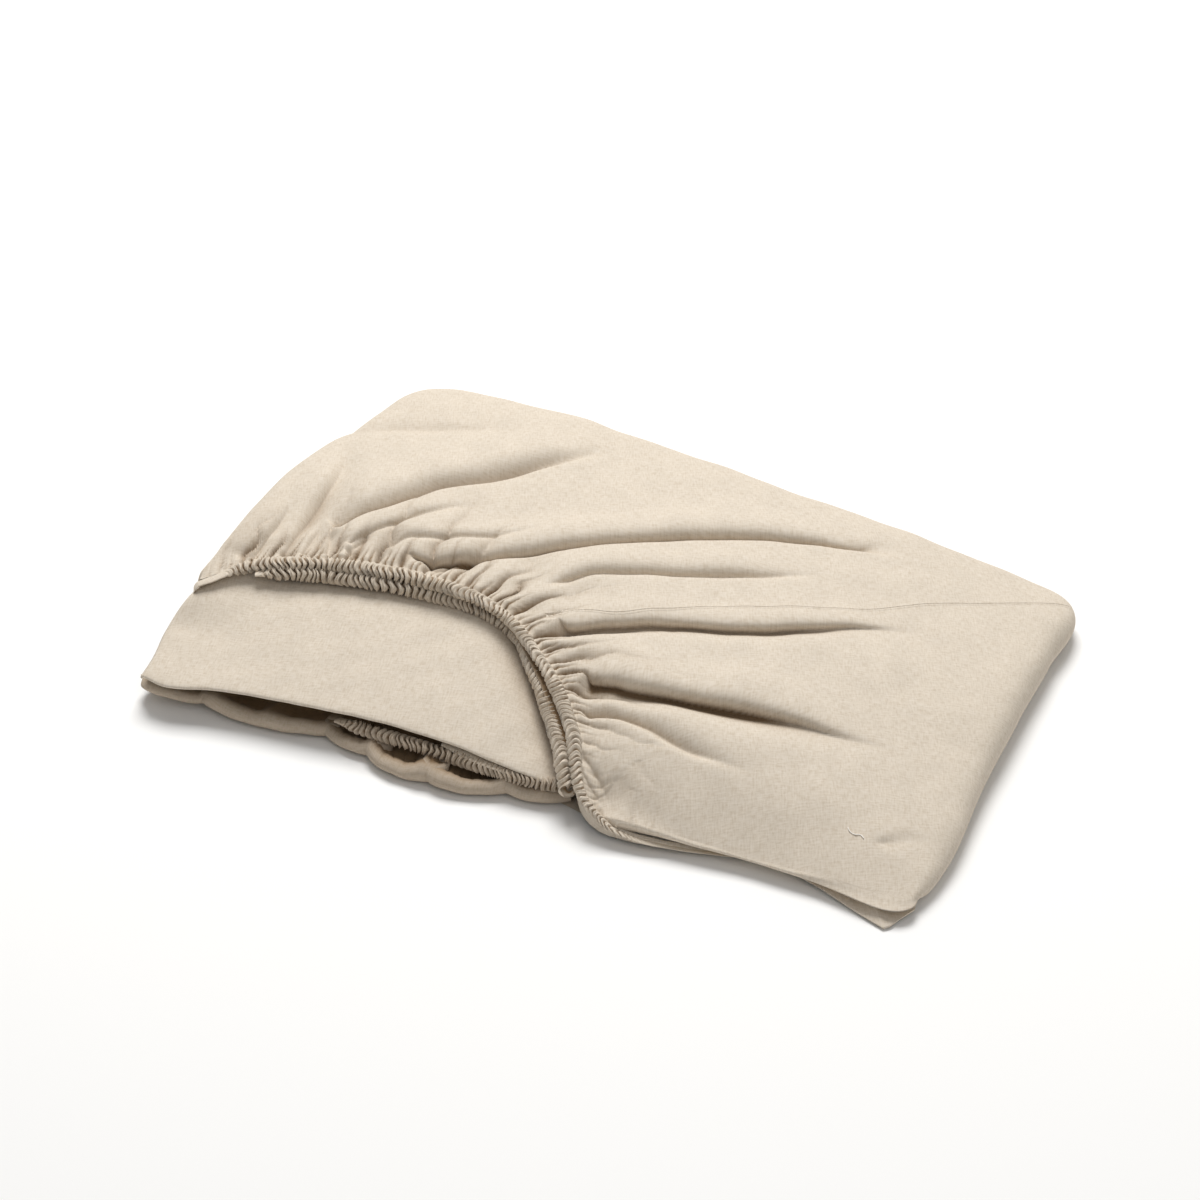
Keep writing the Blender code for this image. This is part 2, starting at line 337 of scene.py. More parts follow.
def settled_height(x: Array, y: Array, drop: float = 0.0) -> Array:
    """The uncreased pocket's height, or that of a cloth some depth below it.

    Args:
        x: Places along the bundle.
        y: Places from front to back.
        drop: How deep the cloth lies below the pocket, 0 for the pocket itself.

    Returns:
        The heights in millimetres.
    """
    hem = closest_hem(x, y)
    inside = (x - hem[..., 0]) * hem[..., 3] + (y - hem[..., 1]) * hem[..., 4] - HEM_WIDTH / 2
    settled = smooth(inside / HEM_SETTLES)
    at_hem = hem[..., 2] + HEM_TOP - (HEM_CLEARS if drop else 0.0)
    if drop:
        drop = drop + HOLLOW_ROOM * smooth((inside - 2) / 16)
    return (crown(x, y) - drop) * settled + at_hem * (1 - settled)


# The roll behind a fold comes up and dies away over at least these shares of its path.
ROLL_START, ROLL_END = 0.14, 0.4
# This times t (1 - t)^2 is 1 at its highest.
PEAK_OF_TURN = 27 / 4


class Fold(NamedTuple):
    """A fold of the pocket's cloth: a hollow along a path, and the roll that stands behind it.

    The roll is on the path's left, and the path runs from the hem outwards. All sizes are in
    millimetres, apart from the shares of the path over which the fold begins and ends.
    """

    depth: float
    ridge: float
    wall: float
    overhang: float
    gentle: float
    reach: float
    start: float
    end: float
    path: tuple

    def locate(self, x: Array, y: Array) -> tuple[Array, Array, Array]:
        """Where points of the plan are from the path.

        Args:
            x: Places along the bundle, in one row.
            y: Places from front to back, in one row.

        Returns:
            The distance behind the path, below 0 before it, the share of the way along it, and the
            direction in plan that leads forward from it.
        """
        path, run = evenly(self.path, 6 * len(self.path))
        steps = np.diff(path, axis=0)
        length = np.linalg.norm(steps, axis=1)
        unit = steps / length[:, None]
        gap = np.stack((x, y), -1)[:, None] - path[:-1]
        share = np.clip((gap * unit).sum(-1), 0, length)
        gap -= share[..., None] * unit
        distance = np.hypot(gap[..., 0], gap[..., 1])
        best = distance.argmin(1)
        rows = np.arange(len(x))
        left = unit[best, 0] * gap[rows, best, 1] - unit[best, 1] * gap[rows, best, 0]
        away = distance[rows, best] * np.where(left < 0, -1.0, 1.0)
        along = (run[best] + share[rows, best]) / run[-1]
        return away, along, np.stack((unit[best, 1], -unit[best, 0]), 1)

    def near(self, x: Array, y: Array, margin: float) -> Array:
        """Which points of the plan are within a margin of the path's box.

        Args:
            x: Places along the bundle.
            y: Places from front to back.
            margin: How far outside the box a point may be.

        Returns:
            True or false for each point.
        """
        path = np.array(self.path)
        low, high = path.min(0) - margin, path.max(0) + margin
        return (x > low[0]) & (x < high[0]) & (y > low[1]) & (y < high[1])

    def press(self, x: Array, y: Array, rise: Array, moved: Array) -> None:
        """Presses the fold into heights and plan shifts, which are changed in place.

        Args:
            x: Places along the bundle.
            y: Places from front to back.
            rise: The heights, which are changed in place.
            moved: The shifts in plan, which are changed in place.
        """
        for start in range(0, x.size, AT_ONCE):
            part = slice(start, start + AT_ONCE)
            margin = 2.2 * max(self.reach, self.gentle, self.wall)
            near = np.flatnonzero(self.near(x[part], y[part], margin))
            if not len(near):
                continue
            near += start
            away, along, forward = self.locate(x[near], y[near])
            ends = smooth(along / self.start) * smooth((1 - along) / self.end)
            full = smooth(along / max(self.start, ROLL_START))
            full = full * smooth((1 - along) / max(self.end, ROLL_END))
            turn = np.clip(away / self.wall, 0, 1)
            hollow = self.depth * np.where(away > 0, (1 - turn) ** 3, 0.0)
            front = self.depth * np.exp(-((np.abs(away) / self.gentle) ** 1.8))
            behind = np.exp(-((np.maximum(away - self.wall, 0) / self.reach) ** 2))
            roll = self.ridge * (1 - (1 - turn) ** 3) * behind
            rise[near] += np.where(away > 0, full * roll - ends * hollow, -ends * front)
            over = PEAK_OF_TURN * turn * (1 - turn) ** 2
            moved[near] += forward * (ends * self.overhang * over)[:, None]


# The folds that the pocket shows, from the back to the front, then the valleys between the
# gathers at its left end.
FOLDS = (
    Fold(3.4, 0.2, 22, 0.0, 7, 20, 0.02, 0.6, (
        (-214, 66), (-202, 70), (-190, 76), (-176, 81), (-154, 89), (-133, 98), (-99, 107),
        (-64, 115)
    )),
    Fold(6.6, 3.6, 15, 0.8, 4.2, 24, 0.02, 0.45, (
        (-164, -21), (-160, -15), (-155, -8), (-148, 1), (-140, 13), (-133, 23), (-127, 33),
        (-117, 42), (-107, 51), (-96, 63), (-84, 78), (-72, 92), (-60, 106), (-39, 126)
    )),
    Fold(3.0, 1.2, 7, 0.8, 3.6, 10, 0.05, 0.5, (
        (-146, -37), (-143, -28), (-139, -20), (-134, -13), (-129, -7), (-120, 5), (-110, 16),
        (-102, 21), (-92, 29)
    )),
    Fold(4.5, 0.0, 7, 0.0, 7, 8, 0.2, 0.4, (
        (-100, -33), (-91, -31), (-84, -26), (-79, -19), (-75, -12)
    )),
    Fold(2.8, 1.4, 7, 0.5, 3.6, 10, 0.06, 0.5, (
        (-126, -30), (-122, -24), (-116, -18), (-101, -12), (-82, -2), (-64, 11), (-47, 26)
    )),
    Fold(7.4, 3.6, 8, 2.8, 3.6, 13, 0.04, 0.14, (
        (-114, -31), (-102, -29), (-92, -26), (-82, -20), (-71, -12), (-57, -2), (-46, 6),
        (-35, 15), (-22, 25), (-9, 35), (5, 45), (23, 58), (44, 72), (66, 84), (86, 93),
        (107, 100), (129, 104)
    )),
    Fold(3.8, 2.2, 9, 1.0, 3.4, 10, 0.12, 0.35, (
        (-34, -27), (-28, -20), (-22, -13), (-15, -5), (-7, 0), (13, 12), (37, 25), (70, 44),
        (100, 63)
    )),
    Fold(6.4, 2.0, 5, 3.4, 9, 10, 0.04, 0.4, (
        (-14, -48), (-7, -48), (2, -44), (10, -38), (18, -33), (30, -25), (43, -18), (59, -12),
        (75, -5), (101, 11), (127, 28), (160, 43)
    )),
    Fold(9.5, 3.8, 7, 4.8, 12, 16, 0.04, 0.6, (
        (15, -76), (20, -76), (26, -75), (33, -74), (39, -74), (49, -72), (61, -69), (74, -66),
        (87, -63), (100, -60), (115, -58), (128, -57), (143, -57), (156, -56), (169, -54),
        (182, -52)
    )),
    Fold(5.0, 1.4, 13, 0.4, 3.6, 14, 0.06, 0.5, (
        (24, -99), (29, -96), (35, -94), (47, -93), (60, -94), (72, -97), (85, -99),
        (104, -100), (124, -100)
    )),
    Fold(2.0, 0.6, 6, 0.4, 3, 8, 0.1, 0.5, (
        (34, -119), (43, -124), (51, -129), (58, -135)
    )),
    Fold(1.5, 0.5, 5, 0.3, 3, 8, 0.1, 0.5, (
        (37, -126), (43, -130), (49, -133), (55, -137)
    )),
    Fold(1.6, 0.4, 6, 0.2, 4, 6, 0.2, 0.3, (
        (189, -112), (200, -103), (210, -93)
    )),
    Fold(4.6, 1.8, 9, 0.0, 8, 9, 0.06, 0.6, (
        (-193, -62), (-192, -50), (-191, -36), (-192, -20), (-195, -4)
    )),
    Fold(5.6, 1.8, 11, 0.0, 9, 10, 0.05, 0.5, (
        (-178, -56), (-178, -42), (-179, -26), (-180, -7), (-182, 14), (-187, 35), (-198, 54)
    )),
    Fold(3.0, 1.0, 6, 0.0, 6, 7, 0.08, 0.5, (
        (-167, -50), (-168, -38), (-169, -27), (-171, -16)
    )),
    Fold(3.4, 0.8, 6, 0.0, 6, 7, 0.08, 0.3, (
        (-154, -46), (-156, -39), (-159, -32), (-162, -25)
    )),
    Fold(2.8, 0.8, 5, 0.0, 5, 6, 0.08, 0.4, (
        (-143, -42), (-142, -34), (-140, -26), (-136, -18)
    )),
)


def folded(x: Array, y: Array) -> tuple[Array, Array]:
    """What the folds do to the pocket's cloth.

    Args:
        x: Places along the bundle.
        y: Places from front to back.

    Returns:
        How far the cloth rises, and how far it moves in plan, as x and y.
    """
    rise, moved = np.zeros(x.size), np.zeros((x.size, 2))
    for fold in FOLDS:
        fold.press(x.ravel(), y.ravel(), rise, moved)
    return rise.reshape(x.shape), moved.reshape(*x.shape, 2)


# The net is finest a little behind each fold's line, over this width, and within this margin.
FINEST_AT, FINE_WIDTH, FINE_MARGIN = 1.5, 4.5, 14


def crispness(x: Array, y: Array) -> Array:
    """How much finer than elsewhere the net has to be at points of the plan, from 0 to 1.

    Args:
        x: Places along the bundle.
        y: Places from front to back.

    Returns:
        A share for each point.
    """
    wanted = np.zeros(x.size)
    flat_x, flat_y = x.ravel(), y.ravel()
    for fold in FOLDS:
        near = np.flatnonzero(fold.near(flat_x, flat_y, FINE_MARGIN))
        if len(near):
            away, along, _ = fold.locate(flat_x[near], flat_y[near])
            close = np.exp(-(((away - FINEST_AT) / FINE_WIDTH) ** 2))
            close = close * smooth((1 - along) / fold.end)
            wanted[near] = np.maximum(wanted[near], close)
    return wanted.reshape(x.shape)


class Pleats:
    """Uneven pleats along a hem, which join into wider and wider ones away from it."""

    def __init__(self, length: float, pitch: float, seed: int, levels: int = 1) -> None:
        """Draws the valleys between pleats.

        Args:
            length: How far the pleats go along the hem.
            pitch: The middle width of a pleat at the hem.
            seed: What the uneven widths are drawn from.
            levels: How many times the pleats join.
        """
        draw = np.random.default_rng(seed)
        widths = pitch * draw.uniform(0.62, 1.45, int(2.2 * length / pitch) + 12)
        valleys = np.cumsum(widths) - 3 * pitch
        self.levels = []
        for _ in range(levels):
            self.levels.append((valleys, draw.uniform(0.55, 1.2, len(valleys))))
            keep = np.cumsum(draw.integers(2, 4, len(valleys)))
            valleys = valleys[keep[keep < len(valleys)]]
            valleys = np.concatenate(([-60.0 * pitch], valleys, [length + 60 * pitch]))

    def bulge(self, run: Array, level: int = 0) -> tuple[Array, Array, Array]:
        """Where each place falls in its pleat.

        Args:
            run: Distances along the hem.
            level: How many times the pleats have joined.

        Returns:
            The round height of the pleat from 0 in its valleys to 1, its width, and its own
            share.
        """
        valleys, shares = self.levels[level]
        which = np.clip(np.searchsorted(valleys, run) - 1, 0, len(valleys) - 2)
        width = valleys[which + 1] - valleys[which]
        inside = np.clip((run - valleys[which]) / width, 0, 1)
        return np.sqrt(np.clip(1 - (2 * inside - 1) ** 2, 0, 1)), width, shares[which]


HEM_PLEATS = Pleats(HEM_LENGTH, 4.3, 11, 4)
# How the gathers lean along the hem as they leave it, and how strong they are, at distances
# along the hem.
LEAN_RUN, LEAN = (0, 45, 95, 150, 220, 265), (0.65, 0.3, 0.0, 0.05, 0.3, 0.6)
STRENGTH_RUN, STRENGTH = (0, 18, 30, 235, 265, 292), (0.1, 0.3, 1.0, 1.0, 0.5, 0.2)
# The gathers' four sizes: where each starts and ends behind the hem, its height as a share of
# its width, and how strong the painted shade in its valleys is.
GATHERS = ((0.0, 7.0, 0.5, 1.2), (2.0, 15.0, 0.5, 1.0), (8.0, 34.0, 0.22, 0.4),
           (26.0, 80.0, 0.04, 0.0))
WIDEST_GATHER = 30


def gathered(x: Array, y: Array) -> tuple[Array, Array]:
    """The gathers that run from the upper hem into the pocket's cloth.

    Args:
        x: Places along the bundle.
        y: Places from front to back.

    Returns:
        How far the cloth stands up, and the painted shade in its valleys, from 0 to 1.
    """
    hem = closest_hem(x, y)
    away = np.maximum(np.hypot(x - hem[..., 0], y - hem[..., 1]) - HEM_WIDTH / 2, 0)
    run = hem[..., 5]
    lean = np.interp(run, LEAN_RUN, LEAN)
    run = run - lean * away + 1.1 * waver(x, y, 16, 5) * smooth(away / 12)
    total, hollow = np.zeros(x.shape), np.zeros(x.shape)
    strength = np.interp(hem[..., 5], STRENGTH_RUN, STRENGTH)
    for level, (starts, ends, share, dark) in enumerate(GATHERS):
        bulge, width, own = HEM_PLEATS.bulge(run, level)
        ends = ends * (0.6 + 0.7 * own)
        window = smooth((away - starts * 0.4 + 1.0) / (starts + 1.0))
        window = window * np.exp(-((away / ends) ** 2))
        total += share * np.minimum(width, WIDEST_GATHER) * own * (bulge - 0.62) * window * strength
        # Painted shade: the valleys between the gathers are darkened in the colour.
        gap = np.clip(1.9 * (1 - bulge) - 0.1, 0, 1) * own * dark
        hollow = np.maximum(hollow, gap * window * strength)
    return total, np.clip(hollow, 0, 1)


class Edge(Enum):
    """How a piece of cloth meets the air at its own edge."""

    RAW = "raw"
    THICK = "thick"


@dataclass(frozen=True)
class Cloth:
    """A piece of cloth laid over a net of points."""

    name: str
    net: Array
    grain: Array
    edge: Edge = Edge.RAW
    thickness: float = 0.8
    # How much painted shade each point carries, from 0 to 1.
    hollow: Array | None = None

    def make(self) -> bpy.types.Object:
        """Lays a grid over the net, in metres in the frame, with its grain as the UV map.

        Returns:
            The cloth's object.
        """
        rows, columns = self.net.shape[:2]
        sheet = bmesh.new()
        bmesh.ops.create_grid(sheet, x_segments=columns - 1, y_segments=rows - 1, size=1)
        mesh = bpy.data.meshes.new(self.name)
        sheet.to_mesh(mesh)
        sheet.free()
        places = np.empty(3 * len(mesh.vertices), np.float32)
        mesh.vertices.foreach_get("co", places)
        places = places.reshape(-1, 3)
        column = np.rint((places[:, 0] + 1) / 2 * (columns - 1)).astype(int)
        row = np.rint((places[:, 1] + 1) / 2 * (rows - 1)).astype(int)
        moved = (self.net[row, column] - MIDDLE) * MM
        mesh.vertices.foreach_set("co", moved.astype(np.float32).ravel())
        corners = np.empty(len(mesh.loops), np.int32)
        mesh.loops.foreach_get("vertex_index", corners)
        layer = mesh.uv_layers.new(name="Grain")
        grain = self.grain[row, column][corners] * UV_PER_MM
        layer.uv.foreach_set("vector", grain.astype(np.float32).ravel())
        # Painted shade, kept as a point attribute for the material's colour.
        if self.hollow is not None:
            depth = mesh.attributes.new("PaintedShade", "FLOAT", "POINT")
            depth.data.foreach_set("value", self.hollow[row, column].astype(np.float32))
        mesh.polygons.foreach_set("use_smooth", np.ones(len(mesh.polygons), bool))
        mesh.update()
        piece = bpy.data.objects.new(self.name, mesh)
        bpy.context.scene.collection.objects.link(piece)
        if self.edge is Edge.THICK:
            wall = piece.modifiers.new("Cloth thickness", "SOLIDIFY")
            wall.thickness = self.thickness * MM
            wall.offset = 0.0
        return piece


# How far the pocket's threads are turned from the bundle's length, in degrees.
GRAIN_TURN = 25.0


def grain_of(x: Array, y: Array, degrees: float = GRAIN_TURN) -> Array:
    """Thread directions over the plan, turned by an angle, as a UV pair in millimetres.

    Args:
        x: Places along the bundle.
        y: Places from front to back.
        degrees: How far the threads are turned.

    Returns:
        A pair for each point.
    """
    turn = math.radians(degrees)
    along = x * math.cos(turn) + y * math.sin(turn)
    return np.stack((along, y * math.cos(turn) - x * math.sin(turn)), -1)


def linear(colour: str) -> tuple[float, float, float, float]:
    """A colour given as sRGB hex, in linear light.

    Args:
        colour: A hash and six digits.

    Returns:
        Red, green, blue and an alpha of 1.
    """
    parts = [int(colour[start : start + 2], 16) / 255 for start in (1, 3, 5)]
    light = [part / 12.92 if part <= 0.04045 else ((part + 0.055) / 1.055) ** 2.4 for part in parts]
    return (*light, 1.0)


def add_node(
    tree: bpy.types.NodeTree, kind: str, links: dict | None = None, **settings: object
) -> bpy.types.Node:
    """Adds a node with its settings and links.

    Args:
        tree: The material's node tree.
        kind: The node's type name.
        links: Input name or number to an output socket, or to a value.
        **settings: The node's own properties.

    Returns:
        The new node.
    """
    node = tree.nodes.new(kind)
    for name, value in settings.items():
        setattr(node, name, value)
    for name, value in (links or {}).items():
        if isinstance(value, bpy.types.NodeSocket):
            tree.links.new(value, node.inputs[name])
        else:
            node.inputs[name].default_value = value
    return node


@dataclass(frozen=True)
class WashedLinen:
    """Natural undyed linen in plain weave, softened by washing.

    Uneven flax threads give short slubs both ways and a mottled sand colour. The nap that
    washing raises spreads light at glancing angles, and there is no gloss.
    """

    name: str = "Washed linen, plain weave"
    thread: str = "#D3C7B6"
    pale_slub: str = "#DACFC0"
    dark_slub: str = "#C8BAA7"
    # Painted shade: the brown that creases and shaded cloth are darkened towards.
    painted_shade_tint: str = "#A08C74"
    sheen_tint: str = "#F2E9DA"
    roughness: float = 0.92
    specular: float = 0.2
    sheen: float = 0.15
    sheen_roughness: float = 0.5
    pitch_mm: float = 0.85
    slub_length_mm: float = 4.5
    blot_mm: float = 14.0
    relief_mm: float = 0.1
    relief_strength: float = 0.55

    @staticmethod
    def noise(
        tree: bpy.types.NodeTree,
        vector: bpy.types.NodeSocket,
        scale: float,
        detail: float,
        rough: float,
    ) -> bpy.types.NodeSocket:
        """An uneven value over the cloth."""
        links = {"Vector": vector, "Scale": scale, "Detail": detail, "Roughness": rough}
        return add_node(tree, "ShaderNodeTexNoise", links).outputs[0]

    @staticmethod
    def remap(
        tree: bpy.types.NodeTree, value: bpy.types.NodeSocket, source: tuple, target: tuple
    ) -> bpy.types.NodeSocket:
        """A value carried from one range into another."""
        links = {0: value, 1: source[0], 2: source[1], 3: target[0], 4: target[1]}
        return add_node(tree, "ShaderNodeMapRange", links).outputs[0]

    @staticmethod
    def mixed(
        tree: bpy.types.NodeTree, share: object, first: object, second: object, blend: str = "MIX"
    ) -> bpy.types.NodeSocket:
        """Two colours mixed or multiplied.

        Args:
            tree: The material's node tree.
            share: How much of the second colour comes in.
            first: The first colour.
            second: The second colour.
            blend: How they are blended.

        Returns:
            The mixed colour's socket.
        """
        links = {0: share, 6: first, 7: second}
        node = add_node(tree, "ShaderNodeMix", links, data_type="RGBA", blend_type=blend)
        return node.outputs[2]

    def slubs(self, tree: bpy.types.NodeTree, grain: bpy.types.NodeSocket) -> bpy.types.NodeSocket:
        """The warp's and the weft's uneven threads, added up.

        Args:
            tree: The material's node tree.
            grain: The socket with the grain's coordinates.

        Returns:
            The socket with their sum.
        """
        threads = []
        for along, across in (
            (self.slub_length_mm, self.pitch_mm),
            (self.pitch_mm, self.slub_length_mm),
        ):
            scale = (1 / UV_PER_MM / along, 1 / UV_PER_MM / across, 1.0)
            scaled = add_node(tree, "ShaderNodeMapping", {0: grain, "Scale": scale})
            threads.append(self.noise(tree, scaled.outputs[0], 1.0, 2.0, 0.55))
        warp, weft = threads
        return add_node(tree, "ShaderNodeMath", {0: warp, 1: weft}, operation="ADD").outputs[0]

    def make(self) -> bpy.types.Material:
        """Builds the material's nodes.

        Returns:
            The material.
        """
        material = bpy.data.materials.new(self.name)
        material.use_nodes = True
        tree = material.node_tree
        shader = tree.nodes["Principled BSDF"]
        shader.inputs["Roughness"].default_value = self.roughness
        shader.inputs["Specular IOR Level"].default_value = self.specular
        shader.inputs["Sheen Weight"].default_value = self.sheen
        shader.inputs["Sheen Roughness"].default_value = self.sheen_roughness
        shader.inputs["Sheen Tint"].default_value = linear(self.sheen_tint)
        grain = add_node(tree, "ShaderNodeUVMap", uv_map="Grain").outputs["UV"]
        both = self.slubs(tree, grain)
        blot = self.noise(tree, grain, 1 / UV_PER_MM / self.blot_mm, 3.0, 0.6)
        ramp = add_node(
            tree, "ShaderNodeValToRGB", {0: self.remap(tree, both, (0.72, 1.28), (0.0, 1.0))}
        )
        stops = ramp.color_ramp.elements
        stops[0].position, stops[0].color = 0.0, linear(self.dark_slub)
        stops[1].position, stops[1].color = 1.0, linear(self.pale_slub)
        stops.new(0.5).color = linear(self.thread)
        tint = self.remap(tree, blot, (0.3, 0.7), (0.965, 1.03))
        toned = self.mixed(tree, 1.0, ramp.outputs[0], tint, "MULTIPLY")
        # Painted shade: a point attribute darkens and warms the colour towards a brown in creases,
        # between pleats, beside and under the hems and in the flap's shadow.
        hollow = add_node(tree, "ShaderNodeAttribute", attribute_name="PaintedShade").outputs["Fac"]
        deep = self.mixed(tree, hollow, (1.0, 1.0, 1.0, 1.0), linear(self.painted_shade_tint))
        shaded = self.mixed(tree, 1.0, toned, deep, "MULTIPLY")
        tree.links.new(shaded, shader.inputs["Base Color"])
        relief = {"Strength": self.relief_strength, "Distance": self.relief_mm * MM, "Height": both}
        bump = add_node(tree, "ShaderNodeBump", relief)
        tree.links.new(bump.outputs[0], shader.inputs["Normal"])
        return material


@dataclass
class PocketCloth:
    """The turned-over corner pocket: over the top, round the rim and under to the heel."""

    columns: int = 724
    top_rows: int = 112
    rim_rows: int = 14
    floor_rows: int = 6
    end_columns: int = 8
    # Where the stitching lies in the hem, as a share of its width from the middle.
    stitching_at: float = 0.32
    # The height of the rim's outermost line, as a share of the way up to the shoulder.
    rim_middle: float = 0.42
    # The row of FAN where the rim turns into the front edge. There the cloth comes down on a
    # slope to a low lip, stands a little off the floor, and turns under in a tight round.
    front_from: float = 12.6
    front_lift: float = 5.6
    front_slope: float = 38.0
    front_slope_from_x: float = 38.0
    front_lip: float = 9.2
    front_tighter: float = 0.72
    front_turned: float = 48.0
    # The row of FAN up to which folds reach the rim uncut.
    left_until: float = 3.6
    # How deep a fold is whose bottom gets the full painted shade.
    darkest_depth: float = 7.5
    smoothing_turns: int = 7
    left_tuck: tuple = ((6, -3, -9), (-0.5, -2.2, 0))
    right_tuck: tuple = ((-1, -0.5, -7), (-0.5, -0.8, 0))
    grain_turn: float = GRAIN_TURN
    mesh_tree: BVHTree | None = field(default=None, repr=False)

    def edges(self, place: Array) -> tuple[Array, Array]:
        """The cloth's stitching line at the hem and its shoulder at the rim, in plan.

        Args:
            place: Places on the fan, one for each column.

        Returns:
            The two lines' points.
        """
        fan = spline(FAN, place)
        stitching = fan[:, :2] + square_to(FAN, place, 0) * HEM_WIDTH * self.stitching_at
        back = fan[:, 4] * (1 - self.front_tighter * smooth(place - self.front_from))
        return stitching, fan[:, 2:4] - square_to(FAN, place, 2) * back[:, None]

    def spacing(self) -> tuple[Array, Array]:
        """Places on the fan and shares of each line, closer where folds are pressed in.

        Returns:
            The columns' places on the fan, and the rows' shares of each line.
        """
        place, share = np.linspace(0, len(FAN) - 1, 340), np.linspace(0, 1, 120)
        stitching, shoulder = self.edges(place)
        plan = stitching + (shoulder - stitching) * share[:, None, None]
        crisp = crispness(plan[..., 0], plan[..., 1])
        along = (1 + 2.4 * crisp) / (0.3 + share[:, None])
        along = np.stack([averaged(row, 4) for row in along])
        steps = (along[1:] + along[:-1]) / 2
        run = np.concatenate((np.zeros((1, len(place))), np.cumsum(steps, 0)))
        run /= run[-1]
        even = np.linspace(0, 1, self.top_rows)
        shares = np.stack([np.interp(even, column, share) for column in run.T], 1)
        gap = np.linalg.norm(np.diff(plan, axis=1), axis=2)
        wide = (gap * (0.3 + 3.0 * crisp[:, 1:])).mean(0) + 0.8 * gap[0]
        reach = np.concatenate(([0], np.cumsum(averaged(wide, 4))))
        columns = np.interp(np.linspace(0, reach[-1], self.columns), reach, place)
        shares = np.stack([np.interp(columns, place, row) for row in shares])
        return columns, shares

    def top(self, place: Array, shares: Array) -> tuple[Array, Array, Array]:
        """The cloth from the hem's stitching to the shoulder.

        Args:
            place: Places on the fan, one for each column.
            shares: Shares of the way from the stitching to the shoulder, row by row.

        Returns:
            The cloth's points, their plan before the folds moved them, and their hollows.
        """
        stitching, shoulder = self.edges(place)
        plan = stitching + (shoulder - stitching) * shares[..., None]
        x, y = plan[..., 0], plan[..., 1]
        rise, moved = folded(x, y)
        stands, hollow = gathered(x, y)
        # Painted shade in the bottoms of the folds, darker for deeper folds.
        sunk = (-rise / self.darkest_depth) ** 3 * (rise < 0)
        hollow = np.clip(np.maximum(hollow, sunk), 0, 1)
        at_rim = smooth((1 - shares) / 0.06)
        left_rim = np.where(place < self.left_until, 1.0, at_rim)
        height = settled_height(x, y) + rise * left_rim + stands * (0.35 + 0.65 * at_rim)
        height += 0.7 * waver(x, y, 75, 3) + 0.28 * waver(x, y, 23, 4)
        ahead = np.interp(x, *FRONT_EDGE.T)
        slope = np.clip(1 - (y - ahead) / self.front_slope, 0, 1) ** 2
        drop = np.maximum(crown(x, ahead) - self.front_lip, 0)
        height -= drop * slope * smooth((x - self.front_slope_from_x) / 16)
        return np.dstack((plan + moved * at_rim[..., None], height)), plan, hollow

    def rim(self, place: Array, edge: Array) -> Array:
        """The cloth round the rim, from the shoulder's heights down to the floor.

        Args:
            place: Places on the fan, one for each column.
            edge: The shoulder's heights.

        Returns:
            The rim's points, row by row.
        """
        fan = spline(FAN, place)
        outward = square_to(FAN, place, 2)
        _, shoulder = self.edges(place)
        front = smooth(place - self.front_from)
        base = floor_height(shoulder[:, 0]) + self.front_lift * front
        middle = base + (self.rim_middle + 0.4 * front) * (edge - base)
        # Along the front the cloth reaches its shoulder on a slope already.
        first = np.radians(90 - self.front_turned * front)
        round_by = fan[:, 4] * (1 - self.front_tighter * front)
        dent = 3.2 * np.exp(-(((fan[:, 2] + 207) / 16) ** 2) - ((fan[:, 3] - 84) / 11) ** 2)
        slump = 1.1 * waver(fan[:, 2], fan[:, 3], 60, 8) * smooth(fan[:, 4] / 8) - dent
        rows = []
        for share in np.linspace(0, 1, self.rim_rows + 1)[1:]:
            angle = first + (-math.pi / 2 - first) * share
            ahead = np.interp(np.degrees(angle), (-90, -60, -30, 10), (0.0, 1.0, 0.3, 0.0))
            high = middle + (edge - middle) * np.sin(angle) / np.sin(first)
            low = middle + (middle - base) * np.sin(angle)
            before = (np.cos(angle) - np.cos(first)) / (1 - np.cos(first))
            out = round_by * before + fan[:, 5] * ahead
            spot = shoulder + outward * (out + slump * np.cos(angle))[:, None]
            rows.append(np.column_stack((spot, np.where(angle > 0, high, low))))
        return np.array(rows)

    def under(self, place: Array, start: Array) -> Array:
        """The cloth under the bundle, from the rim to its heel under the lower lip.

        Args:
            place: Places on the fan, one for each column.
            start: The rim's last row.

        Returns:
            The underside's points, row by row.
        """
        fan = spline(FAN, place)
        heel = np.column_stack((fan[:, 6], fan[:, 8] + 2.0))
        rows = []
        for share in np.linspace(0, 1, self.floor_rows + 1)[1:]:
            spot = start[:, :2] + (heel - start[:, :2]) * share
            low = floor_height(spot[:, 0])
            rows.append(np.column_stack((spot, low + (start[:, 2] - low) * (1 - share) ** 3)))
        return np.array(rows)

    def rounded(self, net: Array, place: Array) -> Array:
        """The net with the shoulder's kink taken out, most of all along the front.

        Args:
            net: The cloth's points, which are changed in place.
            place: Places on the fan, one for each column.

        Returns:
            The same net.
        """
        first, last = self.top_rows - 9, self.top_rows + self.rim_rows - 3
        strength = 0.5 - 0.25 * smooth(place - self.front_from + 0.6)[None, :, None]
        for _ in range(self.smoothing_turns):
            middle = net[first:last]
            rounder = (net[first - 1 : last - 1] + net[first + 1 : last + 1]) / 2
            net[first:last] = middle + (rounder - middle) * strength
        return net

    def closed_end(self, line: Array, tucked: tuple, forward: tuple) -> Array:
        """Columns that turn the cloth's end over, so that it closes like a fold.

        Args:
            line: The end's points, from the hem to the heel.
            tucked: Where the last column lies, from the line.
            forward: How far the columns between bulge.

        Returns:
            The columns' points.
        """
        rows = len(line)
        held = smooth((rows - self.floor_rows - np.arange(rows)) / 4)[:, None]
        ends = []
        for step in range(1, self.end_columns + 1):
            share = step / self.end_columns
            bulge = math.sin(math.pi * share) * np.array(forward)
            ends.append(line + (np.array(tucked) * share**1.3 + bulge) * held)
        return np.stack(ends, 1)

